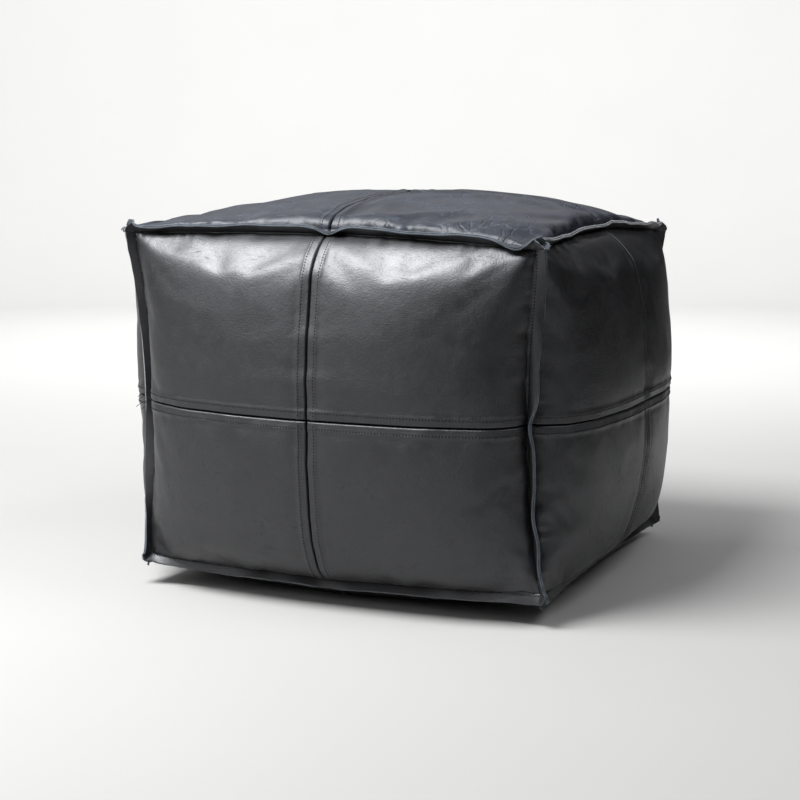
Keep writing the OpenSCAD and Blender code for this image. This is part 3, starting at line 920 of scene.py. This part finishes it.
def lining_point(form, face, s, t, inset):
    """Point of a bag inside the casing, inset from its outside."""
    if face == TOP:
        found = form.top(s, t, inset)
    elif face == BASE:
        x, y = form.flat_place(s, t, inset)
        lift = form.low + inset - BASE_SAG * fullness(s, BASE_FULLNESS) * fullness(t, BASE_FULLNESS)
        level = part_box("liner_base")[0].z + inset - sizes().liner_space
        found = np.stack([x, y, np.maximum(level, lift)], axis=-1)
    else:
        found = turned(form.side(s, t, inset), SIDES.index(face))
    if face != BASE:
        up = form.evened(t, "up" if face in SIDES else "across")
        found = found + form.settling(face, form.evened(s, "across"), up)
    return found + form.slump(found)


def lining_share(count):
    """Shares from -1 to 1, closer together near the edges."""
    return np.sin(np.linspace(-math.pi / 2, math.pi / 2, count))


def make_liner(form, cotton):
    """The liner's top, wall and base, each a closed sheet of cloth."""
    middle = np.array([0, 0, form.middle])
    cloth, ease = 0.0009, 0.0008
    for node, faces in (("liner_top", (TOP,)), ("liner_wall", SIDES), ("liner_base", (BASE,))):
        parts = []
        for face in faces:
            s, t = crossed(lining_share(45), lining_share(37) * 0.998)
            points = lining_point(form, face, s, t, sizes().liner_space + ease)
            parts.append(points if len(faces) == 1 else points[:-1])
        outer = np.concatenate(parts)
        if face != BASE:
            outer = wrinkled(outer, middle, 0.0016, 0.04, 71)
        inner = outer + unit(middle - outer) * cloth
        if face == BASE:
            inner = outer + np.array([0, 0, cloth])
        mesh = sheet_mesh(node + "_cotton", outer, inner, [cotton, cotton], closed=len(faces) > 1)
        add_piece(mesh, "liner_cotton", node, fill=0.95)


def make_filling(form, wadding):
    """Lumpy cotton wadding that fills the liner."""
    inset = sizes().liner_space + 0.0042
    middle = np.array([0, 0, form.middle])
    mesh = bpy.data.meshes.new("filling_wadding")
    verts, faces = [], []
    s, t = crossed(lining_share(41), lining_share(41))
    quads = grid_quads(np.arange(s.size).reshape(s.shape))
    for k, face in enumerate(FACES):
        verts.append(lining_point(form, face, s, t, inset).reshape(-1, 3))
        faces.append((quads[:, ::-1] if face == BASE else quads) + k * s.size)
    verts = wrinkled(np.concatenate(verts), middle, 0.004, 0.045, 81)
    fill_mesh(mesh, verts, np.concatenate(faces))
    weld(mesh)
    add_piece(mesh, "filling_fibre", "filling", material=wadding, fill=1.0)


def weld(mesh):
    """Joins vertices that share a place and makes the faces look outwards."""
    work = bmesh.new()
    work.from_mesh(mesh)
    bmesh.ops.remove_doubles(work, verts=work.verts, dist=SAME_PLACE)
    bmesh.ops.recalc_face_normals(work, faces=work.faces)
    work.to_mesh(mesh)
    work.free()
    mesh.update()


# ---------------------------------------------------------------- zip


def make_tape(side, cloth):
    """One woven tape of the zip, with a raised cord along its inner edge."""
    node = f"zip_tape_{side}"
    low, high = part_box(node)
    inner = -1 if side == "front" else 1
    x = np.linspace(low.x, high.x, 281)
    y = np.linspace(low.y, high.y, 29)
    x, y = crossed(x, y)
    edge = high.y if inner < 0 else low.y
    ribs = 0.00006 * np.sin(x / 0.0011 * 2 * math.pi)
    ribs = ribs + 0.00005 * np.cos((y - edge) / 0.0016 * 2 * math.pi)
    cord = 0.0001 * bell(y - edge, 0.0009)
    top = np.stack([x, y, high.z - 0.00016 + ribs + cord], axis=-1)
    bottom = np.stack([x, y, low.z + 0.00016 - ribs - cord], axis=-1)
    mesh = sheet_mesh(node + "_cloth", bottom, top, [cloth, cloth])
    add_piece(mesh, "zip_tape_cloth", node)


def make_coil(side, nylon):
    """One row of zip teeth, a flattened spring of nylon."""
    node = f"zip_coil_{side}"
    low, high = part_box(node)
    pitch, thick = 0.00155, 0.00036
    turns = int((high.x - low.x - 2 * thick) / pitch)
    steps = 12
    angle = np.arange(turns * steps + 1) * 2 * math.pi / steps
    phase = 0.0 if side == "front" else math.pi
    middle = (np.array(low) + np.array(high)) / 2
    half_y, half_z = (high.y - low.y) / 2 - thick, (high.z - low.z) / 2 - thick
    path = np.stack(
        [
            low.x + thick + (high.x - low.x - 2 * thick) * angle / angle[-1],
            middle[1] + half_y * np.cos(angle + phase),
            middle[2] + half_z * np.sin(angle + phase),
        ],
        axis=-1,
    )
    add_piece(tube_mesh(node + "_nylon", path, thick, 5), "zip_coil_nylon", node, material=nylon)


def tube_mesh(name, path, radius, sides):
    """A round tube along a path of points, closed at its ends."""
    ahead = unit(np.gradient(path, axis=0))
    rough = np.where(np.abs(ahead[:, :1]) < 0.9, np.array([[1.0, 0, 0]]), np.array([[0, 0, 1.0]]))
    across = unit(np.cross(ahead, rough))
    up = np.cross(across, ahead)
    turns = np.linspace(0, 2 * math.pi, sides, endpoint=False)
    rings = [path + radius * (math.cos(turn) * across + math.sin(turn) * up) for turn in turns]
    ends = [path[:1] - ahead[:1] * radius * 0.5, path[-1:] + ahead[-1:] * radius * 0.5]
    verts = np.concatenate([np.stack(rings, axis=1).reshape(-1, 3), *ends])
    start = np.arange(len(path) - 1)[:, None] * sides
    j = np.arange(sides)[None]
    i = (j + 1) % sides
    quads = np.stack([start + j, start + i, start + sides + i, start + sides + j], axis=-1).reshape(-1, 4)
    mesh = bpy.data.meshes.new(name)
    last = (len(path) - 1) * sides
    head, tail = len(verts) - 2, len(verts) - 1
    caps = [(head, (k + 1) % sides, k) for k in range(sides)]
    caps += [(tail, last + k, last + (k + 1) % sides) for k in range(sides)]
    mesh.from_pydata(verts.tolist(), [], quads.tolist() + caps)
    smooth(mesh)
    return mesh


def make_stop(node, metal):
    """A crimped end stop with rounded edges."""
    low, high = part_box(node)
    work = bmesh.new()
    bmesh.ops.create_cube(work, size=1)
    for vert in work.verts:
        vert.co = [l + (h - l) * (c + 0.5) for l, h, c in zip(low, high, vert.co)]
    bmesh.ops.bevel(work, geom=work.edges[:], offset=0.00045, segments=3, affect="EDGES", profile=0.5)
    mesh = bpy.data.meshes.new(node + "_metal")
    work.to_mesh(mesh)
    work.free()
    smooth(mesh)
    add_piece(mesh, "zip_metal", node, material=metal)


def finish_cad_metal(node, metal, width):
    """Keeps a CAD node, with softened edges and its metal."""
    piece = frame["nodes"][node]
    piece.data.materials.clear()
    piece.data.materials.append(metal)
    bevel = piece.modifiers.new("softened_edges", "BEVEL")
    bevel.width, bevel.segments, bevel.limit_method = width, 3, "ANGLE"
    bevel.angle_limit = math.radians(30)
    bevel.harden_normals = True


class Build:
    """What the operators share: the form of the casing, its seams and the common materials."""

    current = None

    def __init__(self):
        self.form = Form()
        self.seams = Seams(self.form)
        self.made = {}

    def shared(self, name, maker, colour):
        if name not in self.made:
            self.made[name] = maker(name, rgb(colour))
        return self.made[name]

    def raw(self):
        return self.shared("raw_edge", raw_leather_material, colours().raw_edge)

    def thread(self):
        return self.shared("sewing_thread", thread_material, colours().thread)

    def metal(self):
        return self.shared("zip_metal", metal_material, colours().zip_metal)


def build():
    if Build.current is None:
        Build.current = Build()
    return Build.current


# ---------------------------------------------------------------- materials


class Field:
    """A shader socket that can be used in expressions; each operation adds its node."""

    def __init__(self, tree, socket):
        self.tree, self.socket = tree, socket

    def _math(self, operation, *values):
        return self.tree.node("ShaderNodeMath", {"operation": operation}, dict(enumerate(values)))

    def __add__(self, other):
        return self._math("ADD", self, other)

    __radd__ = __add__

    def __sub__(self, other):
        return self._math("SUBTRACT", self, other)

    def __mul__(self, other):
        return self._math("MULTIPLY", self, other)

    __rmul__ = __mul__


class Shader:
    """A material with one principled shader, whose other nodes come from node()."""

    def __init__(self, name, **constants):
        self.material = bpy.data.materials.new(name)
        self.material.use_nodes = True
        self.nodes = self.material.node_tree.nodes
        self.links = self.material.node_tree.links
        self.surface = self.nodes["Principled BSDF"]
        for socket, value in constants.items():
            self.surface.inputs[socket.replace("_", " ")].default_value = value

    def node(self, kind, settings=None, inputs=None, output=0):
        """Adds a node, sets it up, and returns one of its outputs as a Field."""
        made = self.nodes.new(kind)
        for key, value in (settings or {}).items():
            setattr(made, key, value)
        for key, value in (inputs or {}).items():
            if isinstance(value, Field):
                self.links.new(value.socket, made.inputs[key])
            else:
                made.inputs[key].default_value = value
        return Field(self, made.outputs[output])

    def place(self, scale=(1, 1, 1), turn=(0, 0, 0)):
        """The point on the object, in metres, scaled and turned."""
        point = self.node("ShaderNodeTexCoord", output="Object")
        return self.node("ShaderNodeMapping", {}, {"Vector": point, "Scale": scale, "Rotation": turn})

    def noise(self, where, scale, detail=3.0, roughness=0.55, distortion=0.0):
        inputs = {"Vector": where, "Scale": scale, "Detail": detail}
        inputs.update({"Roughness": roughness, "Distortion": distortion})
        return self.node("ShaderNodeTexNoise", {}, inputs)

    def waves(self, where, way, scale, **more):
        """Bands square to a way: X, Y, Z or DIAGONAL."""
        settings = {"wave_type": "BANDS", "bands_direction": way}
        more = {name.replace("_", " "): value for name, value in more.items()}
        return self.node("ShaderNodeTexWave", settings, {"Vector": where, "Scale": scale, **more}, output=1)

    def colour_noise(self, where, scale):
        """A noise whose three channels differ, for bending a place."""
        return self.node("ShaderNodeTexNoise", {}, {"Vector": where, "Scale": scale, "Detail": 3.0}, output=1)

    def ramp(self, value, *stops):
        """Grey levels along a value: each stop is (value, level)."""
        made = self.node("ShaderNodeValToRGB", {}, {"Fac": value})
        elements = made.socket.node.color_ramp.elements
        while len(elements) < len(stops):
            elements.new(0.5)
        for element, (position, level) in zip(elements, stops):
            element.position, element.color = position, (level, level, level, 1)
        return made

    def mix(self, share, first, second):
        """Mixes two colours, each a Field or three numbers."""
        first, second = ((*c, 1) if isinstance(c, (tuple, list)) else c for c in (first, second))
        return self.node(
            "ShaderNodeMix", {"data_type": "RGBA"}, {"Factor": share, 6: first, 7: second}, output=2
        )

    def bump(self, height, distance, strength=1.0, normal=None):
        inputs = {"Height": height, "Distance": distance, "Strength": strength}
        if normal is not None:
            inputs["Normal"] = normal
        return self.node("ShaderNodeBump", {}, inputs)

    def feed(self, **sockets):
        for socket, value in sockets.items():
            self.links.new(value.socket, self.surface.inputs[socket.replace("_", " ")])
        return self.material


def rgb(colour):
    return tuple(colour[:3])


def lighter(colour, factor):
    return tuple(min(1.0, c * factor) for c in colour[:3])


def leather_material(name, colour, scuffs, gloss, shine, creases):
    """Pebbled leather with pores, fine wrinkles, sharp creases, scuffs and uneven gloss."""
    shader = Shader(name, Coat_Roughness=0.41, Specular_IOR_Level=shine, Specular_Tint=(0.93, 0.95, 1.0, 1))
    even = shader.place()
    flat = shader.place(scale=(1.0, 1.0, 3.6))
    cells = {"Vector": even, "Scale": 760.0, "Smoothness": 0.35}
    pebbles = shader.node("ShaderNodeTexVoronoi", {"feature": "SMOOTH_F1"}, cells)
    wrinkle = shader.noise(flat, 150.0, 5.0, 0.62, 0.8)
    fine = shader.noise(even, 1400.0, 3.0, 0.6)
    broad = shader.noise(even, 13.0, 4.0, 0.6, 0.4)
    patch = shader.noise(even, 42.0, 6.0, 0.68, 1.4)
    one_way = shader.place(scale=(1.0, 7.0, 1.0), turn=(0.2, 0.1, 0.6))
    scratch = shader.noise(one_way, 55.0, 6.0, 0.74, 2.4)
    other_way = shader.place(scale=(8.0, 1.0, 1.0), turn=(0.1, 0.3, -0.5))
    crossing = shader.noise(other_way, 48.0, 6.0, 0.74, 2.0)
    waver = {0: shader.colour_noise(even, 30.0), "Scale": 0.024}
    waver = shader.node("ShaderNodeVectorMath", {"operation": "SCALE"}, waver)
    bent = {0: shader.place(scale=(1.0, 0.5, 0.5)), 1: waver}
    bent = shader.node("ShaderNodeVectorMath", {"operation": "ADD"}, bent)
    cells = {"Vector": bent, "Scale": 62.0}
    edges = shader.node("ShaderNodeTexVoronoi", {"feature": "DISTANCE_TO_EDGE"}, cells)
    crease = shader.ramp(edges, (0.0, 1.0), (0.07, 0.0)) * shader.ramp(broad, (0.46, 0.0), (0.56, 1.0))
    worn = shader.ramp(scratch, (0.0, 0.0), (0.53, 0.0), (0.62, 1.0))
    worn = worn * shader.ramp(patch, (0.42, 0.0), (0.58, 1.0))
    crossed_worn = shader.ramp(crossing, (0.0, 0.0), (0.55, 0.0), (0.63, 0.8))
    worn = worn + crossed_worn * shader.ramp(broad, (0.45, 0.0), (0.6, 1.0))
    worn = worn + crease * (0.45 * creases) * patch
    shade = shader.mix(broad, lighter(colour, 0.70), lighter(colour, 1.30))
    shade = shader.mix(shader.ramp(patch, (0.35, 0.0), (0.75, 0.7)), shade, lighter(colour, 1.6))
    shade = shader.mix(worn * scuffs, shade, lighter(colour, 6.0))
    roughness = gloss + 0.20 * (broad - 0.5) + 0.20 * (patch - 0.5) + 0.08 * fine + 0.15 * worn
    waxed = (0.42 + 0.6 * (patch - 0.5) - 0.25 * worn) * shine
    coarse = shader.bump(wrinkle, 0.00034, 0.50)
    folded = shader.bump(crease, -0.0010, 0.65 * creases, coarse)
    soft = shader.bump(patch, 0.0014, 0.30, folded)
    grain = shader.bump(pebbles + 0.35 * fine, 0.00020, 0.70, soft)
    return shader.feed(Base_Color=shade, Roughness=roughness, Coat_Weight=waxed, Normal=grain)


def raw_leather_material(name, colour):
    """Fuzzy flesh side and cut edge of the leather."""
    shader = Shader(name, Sheen_Weight=0.35, Sheen_Roughness=0.5, Specular_IOR_Level=0.2)
    where = shader.place()
    fuzz = shader.noise(where, 1300.0, 5.0, 0.7)
    patch = shader.noise(where, 120.0, 4.0, 0.6)
    shade = shader.ramp(patch, (0.35, 0.0), (0.65, 1.0))
    shade = shader.mix(shade, lighter(colour, 0.55), lighter(colour, 1.25))
    shade = shader.mix(shader.ramp(fuzz, (0.45, 0.0), (0.7, 0.7)), shade, lighter(colour, 1.9))
    return shader.feed(Base_Color=shade, Roughness=0.78 + 0.2 * fuzz, Normal=shader.bump(fuzz, 0.0004, 0.8))


def thread_material(name, colour):
    """Waxed twisted thread."""
    shader = Shader(name, Specular_IOR_Level=0.25)
    where = shader.place()
    twist = shader.waves(where, "DIAGONAL", 420.0, Distortion=0.6, Detail=1.0)
    fuzz = shader.noise(where, 900.0, 3.0, 0.6)
    shade = shader.mix(fuzz, lighter(colour, 0.7), lighter(colour, 1.5))
    height = shader.bump(twist, 0.00012, 0.6)
    return shader.feed(Base_Color=shade, Roughness=0.65 + 0.25 * fuzz, Normal=height)


def cloth_material(name, colour, threads, depth):
    """Woven cloth of crossing threads with slubs and light soiling."""
    shader = Shader(name, Sheen_Weight=0.25, Sheen_Roughness=0.6, Specular_IOR_Level=0.15)
    where = shader.place()
    warp, weft, upright = (
        shader.waves(where, way, threads, Distortion=1.2, Detail=2.0, Detail_Scale=1.5) for way in "XYZ"
    )
    weave = warp + weft + upright
    soil = shader.noise(where, 18.0, 4.0, 0.6)
    shade = shader.ramp(soil, (0.35, 0.0), (0.7, 1.0))
    shade = shader.mix(shade, lighter(colour, 0.82), lighter(colour, 1.08))
    shade = shader.mix(weave * 0.33, lighter(colour, 0.8), shade)
    return shader.feed(Base_Color=shade, Roughness=0.85 + 0.1 * soil, Normal=shader.bump(weave, depth, 0.6))


def wadding_material(name, colour):
    """Matted cotton wadding."""
    shader = Shader(name, Sheen_Weight=0.5, Sheen_Roughness=0.7, Specular_IOR_Level=0.05)
    where = shader.place()
    lumps = shader.noise(where, 60.0, 6.0, 0.7, 1.5)
    fibres = shader.noise(shader.place(scale=(1.0, 7.0, 1.0), turn=(0.4, 0.2, 0.7)), 260.0, 5.0, 0.75, 3.0)
    shade = shader.mix(lumps, lighter(colour, 0.78), lighter(colour, 1.12))
    height = shader.bump(fibres, 0.0008, 0.7, shader.bump(lumps, 0.003, 0.6))
    return shader.feed(Base_Color=shade, Roughness=0.9 + 0.08 * fibres, Normal=height)


def nylon_material(name, colour):
    """Moulded nylon of the zip's coil."""
    shader = Shader(name, Specular_IOR_Level=0.5)
    where = shader.place()
    haze = shader.noise(where, 400.0, 3.0, 0.6)
    shade = shader.mix(haze, lighter(colour, 0.8), lighter(colour, 1.4))
    return shader.feed(Base_Color=shade, Roughness=0.32 + 0.2 * haze, Normal=shader.bump(haze, 0.00006, 0.4))


def metal_material(name, colour):
    """Plated zinc with fine rubbing marks and tarnish."""
    shader = Shader(name, Metallic=1.0)
    rub = shader.noise(shader.place(scale=(1.0, 9.0, 1.0)), 500.0, 4.0, 0.7, 0.5)
    tarnish = shader.noise(shader.place(), 130.0, 5.0, 0.65, 1.0)
    shade = shader.mix(shader.ramp(tarnish, (0.4, 0.0), (0.7, 0.8)), colour, lighter(colour, 0.6))
    roughness = 0.24 + 0.18 * tarnish + 0.12 * rub
    return shader.feed(Base_Color=shade, Roughness=roughness, Normal=shader.bump(rub, 0.00005, 0.35))


# ---------------------------------------------------------------- stage


def make_stage():
    """Pale floor and backdrop, soft lights and the camera."""
    floor_reach, bend, wall_top, turns, just_below = 3.3, 1.2, 4.2, 96, 0.0002
    quarter = np.linspace(0, math.pi / 2, 20)
    arc = [(floor_reach + bend * math.sin(t), bend * (1 - math.cos(t))) for t in quarter]
    profile = [(0.02, 0.0), (1.0, 0.0), *arc, (floor_reach + bend, wall_top)]
    around = np.linspace(0, 2 * math.pi, turns, endpoint=False)
    verts = [(r * math.cos(t), r * math.sin(t), z) for r, z in profile for t in around]
    faces = [tuple(range(turns))]
    for ring in range(len(profile) - 1):
        start = ring * turns
        for k in range(turns):
            j = (k + 1) % turns
            faces.append((start + k, start + turns + k, start + turns + j, start + j))
    floor = bpy.data.meshes.new("studio_sweep")
    floor.from_pydata(verts, [], faces)
    smooth(floor)
    sweep = add_object("studio_sweep", floor)
    sweep.location.z = -just_below
    shader = Shader("studio_paper", Roughness=0.9, Specular_IOR_Level=0.1)
    paper = shader.noise(shader.place(), 3.0, 2.0)
    paper = shader.mix(paper, (0.330, 0.329, 0.325), (0.344, 0.343, 0.339))
    floor.materials.append(shader.feed(Base_Color=paper))
    sweep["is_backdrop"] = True

    world = bpy.data.worlds.new("studio_air")
    bpy.context.scene.world = world
    world.use_nodes = True
    air = world.node_tree.nodes["Background"].inputs
    air["Color"].default_value, air["Strength"].default_value = (0.90, 0.94, 1.0, 1), 0.27

    soft_light("overhead_softbox", (-0.62, -0.80, 1.66), (-0.70, -0.1, 0.3), 1.2, 0.80, 86)
    soft_light("right_overhead", (1.35, 0.05, 1.75), (0.85, 0.1, 0), 0.9, 0.9, 15)
    soft_light("front_fill", (-1.2, -1.8, 1.2), (-0.1, 0, 0.2), 1.6, 1.1, 11)
    soft_light("left_softbox", (-2.7, 0.2, 1.9), (0, 0, 0.2), 1.5, 1.8, 10)
    soft_light("backdrop_light", (-0.6, 1.2, 2.6), (-1.2, 4.0, 1.3), 3.4, 1.2, 330)
    dark_card("right_flag", (0.84, 0.56, 0.80), (0, 0, 0.70), 2.3, 1.56)
    dark_card("back_flag", (-0.55, 1.60, 0.66), (0, 0, 0.60), 2.4, 0.62)
    dark_card("front_flag", (0.56, -1.02, 0.52), (0, 0, 0.52), 1.1, 1.04)
    bpy.context.scene.view_settings.view_transform = "Standard"
    make_camera()


def dark_card(name, place, target, width, height):
    """A black card that keeps the backdrop's light off one side, out of the camera's sight."""
    mesh = bpy.data.meshes.new(name)
    x, y = width / 2, height / 2
    mesh.from_pydata([(-x, -y, 0), (x, -y, 0), (x, y, 0), (-x, y, 0)], [], [(0, 1, 2, 3)])
    shader = Shader(name, Base_Color=(0.004, 0.004, 0.004, 1), Roughness=1.0, Specular_IOR_Level=0.0)
    mesh.materials.append(shader.material)
    card = add_object(name, mesh, place, target)
    card.visible_camera = card.visible_shadow = card.visible_diffuse = False
    card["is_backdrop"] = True


def soft_light(name, place, target, width, height, power):
    data = bpy.data.lights.new(name, "AREA")
    data.shape = "RECTANGLE"
    data.size, data.size_y = width, height
    data.energy = power
    add_object(name, data, place, target)


def make_camera():
    """The camera stands a little to the right of the front and a little above the pouf's middle."""
    azimuth, elevation = math.radians(23.317), math.radians(8.213)
    distance, aim_height, aside = 1.822, 0.1756, -0.0141
    right = Vector((math.cos(azimuth), math.sin(azimuth), 0))
    level = Vector((math.sin(azimuth), -math.cos(azimuth), 0))
    back = level * math.cos(elevation) + Vector((0, 0, math.sin(elevation)))
    data = bpy.data.cameras.new("camera")
    data.sensor_width = 36
    data.lens = 74.94
    camera = add_object("camera", data)
    camera.location = Vector((0, 0, aim_height)) + right * aside + back * distance
    camera.rotation_euler = (-back).to_track_quat("-Z", "Y").to_euler()
    bpy.context.scene.camera = camera


# ---------------------------------------------------------------- add-on


def adding(step):
    """Makes an operator's execute from a step that adds objects; it raises an error if none is added."""

    def execute(self, context):
        before = len(bpy.data.objects)
        step(self, build())
        if len(bpy.data.objects) <= before:
            raise RuntimeError(f"{self.bl_label}: nothing was made")
        return {"FINISHED"}

    return execute


class POUF_OT_cover(bpy.types.Operator):
    """Settle the leather cover over its filling with a cloth simulation"""

    bl_idname = "pouf.cover"
    bl_label = "Settle cover"

    def execute(self, context):
        settle_cover(build().form)
        return {"FINISHED"}


class POUF_OT_top(bpy.types.Operator):
    """Cut and shape the top's four leather quarters"""

    bl_idname = "pouf.top"
    bl_label = "Top leather"

    @adding
    def execute(self, shared):
        leather = leather_material("top_leather", rgb(colours().top_leather), 1.0, 0.47, 0.40, 1.0)
        make_panels(shared, (TOP,), leather)


class POUF_OT_sides(bpy.types.Operator):
    """Cut and shape the sixteen leather quarters of the sides"""

    bl_idname = "pouf.sides"
    bl_label = "Side leather"

    @adding
    def execute(self, shared):
        leather = leather_material("side_leather", rgb(colours().side_leather), 0.10, 0.45, 0.73, 0.12)
        make_panels(shared, SIDES, leather)


class POUF_OT_base(bpy.types.Operator):
    """Cut and shape the base's four leather quarters"""

    bl_idname = "pouf.base"
    bl_label = "Base leather"

    @adding
    def execute(self, shared):
        leather = leather_material("base_leather", rgb(colours().base_leather), 0.3, 0.5, 0.4, 0.4)
        make_panels(shared, (BASE,), leather)


class POUF_OT_topstitching(bpy.types.Operator):
    """Sew the topstitched rows beside the cross seams of every face"""

    bl_idname = "pouf.topstitching"
    bl_label = "Topstitching"

    @adding
    def execute(self, shared):
        for face in FACES:
            rows = [row for panel in quarters(shared, face) for row in topstitch_rows(panel)]
            add_stitches(f"{face}_topstitching", rows, shared.thread())


class POUF_OT_edge_stitching(bpy.types.Operator):
    """Sew the stitches that close the raw edges"""

    bl_idname = "pouf.edge_stitching"
    bl_label = "Edge stitching"

    @adding
    def execute(self, shared):
        for kind in ("rim", "upright", "hem"):
            rows = [row for turn in range(4) for row in edge_rows(shared.seams.all[kind, turn])]
            add_stitches(f"{kind}_stitching", rows, shared.thread())
        loose_ends(shared.seams.all["upright", 3], shared.thread())


class POUF_OT_liner(bpy.types.Operator):
    """Make the cotton liner inside the casing"""

    bl_idname = "pouf.liner"
    bl_label = "Liner"

    @adding
    def execute(self, shared):
        make_liner(shared.form, cloth_material("liner_cotton", rgb(colours().liner), 160.0, 0.0003))


class POUF_OT_filling(bpy.types.Operator):
    """Make the wadding inside the liner"""

    bl_idname = "pouf.filling"
    bl_label = "Filling"

    @adding
    def execute(self, shared):
        make_filling(shared.form, wadding_material("filling_fibre", rgb(colours().filling)))


class POUF_OT_zip(bpy.types.Operator):
    """Make the zip's tapes, coils and end stops"""

    bl_idname = "pouf.zip"
    bl_label = "Zip"

    @adding
    def execute(self, shared):
        cloth = cloth_material("zip_tape_cloth", rgb(colours().zip_tape), 420.0, 0.00012)
        nylon = nylon_material("zip_coil_nylon", rgb(colours().zip_coil))
        for side in ("front", "back"):
            make_tape(side, cloth)
            make_coil(side, nylon)
        for node in ("zip_closed_end_stop", "zip_open_end_stop"):
            make_stop(node, shared.metal())


class POUF_OT_slider(bpy.types.Operator):
    """Soften the slider and pull and give them their metal"""

    bl_idname = "pouf.slider"
    bl_label = "Slider and pull"

    def execute(self, context):
        finish_cad_metal("zip_slider", build().metal(), 0.00028)
        finish_cad_metal("zip_pull", build().metal(), 0.00025)
        return {"FINISHED"}


class POUF_OT_stage(bpy.types.Operator):
    """Set up the floor, the lights and the camera"""

    bl_idname = "pouf.stage"
    bl_label = "Stage"

    @adding
    def execute(self, shared):
        make_stage()


OPERATORS = (
    POUF_OT_cover,
    POUF_OT_top,
    POUF_OT_sides,
    POUF_OT_base,
    POUF_OT_topstitching,
    POUF_OT_edge_stitching,
    POUF_OT_liner,
    POUF_OT_filling,
    POUF_OT_zip,
    POUF_OT_slider,
    POUF_OT_stage,
)


class POUF_PT_sidebar(bpy.types.Panel):
    """Sizes, colours and steps of the pouf"""

    bl_idname = "POUF_PT_sidebar"
    bl_label = "Leather pouf"
    bl_space_type = "VIEW_3D"
    bl_region_type = "UI"
    bl_category = "Pouf"

    def draw(self, context):
        for group in (context.scene.pouf_sizes, context.scene.pouf_colours):
            box = self.layout.box()
            for name in group.bl_rna.properties.keys():
                if name not in ("rna_type", "name"):
                    box.prop(group, name)
        for operator in OPERATORS:
            self.layout.operator(operator.bl_idname)


CLASSES = (PoufSizes, PoufColours, *OPERATORS, POUF_PT_sidebar)


def register():
    for made in CLASSES:
        bpy.utils.register_class(made)
    bpy.types.Scene.pouf_sizes = bpy.props.PointerProperty(type=PoufSizes)
    bpy.types.Scene.pouf_colours = bpy.props.PointerProperty(type=PoufColours)


def unregister():
    del bpy.types.Scene.pouf_colours
    del bpy.types.Scene.pouf_sizes
    for made in reversed(CLASSES):
        bpy.utils.unregister_class(made)


def main():
    register()
    for operator in OPERATORS:
        getattr(bpy.ops.pouf, operator.bl_idname.split(".")[1])()
    low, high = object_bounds()
    sides = {"cad_low": CAD_LOW, "cad_high": CAD_HIGH, "visual_low": low, "visual_high": high}
    {name: [round(c, 6) for c in corner] for name, corner in sides.items()}


if __name__ == "__main__":
    main()
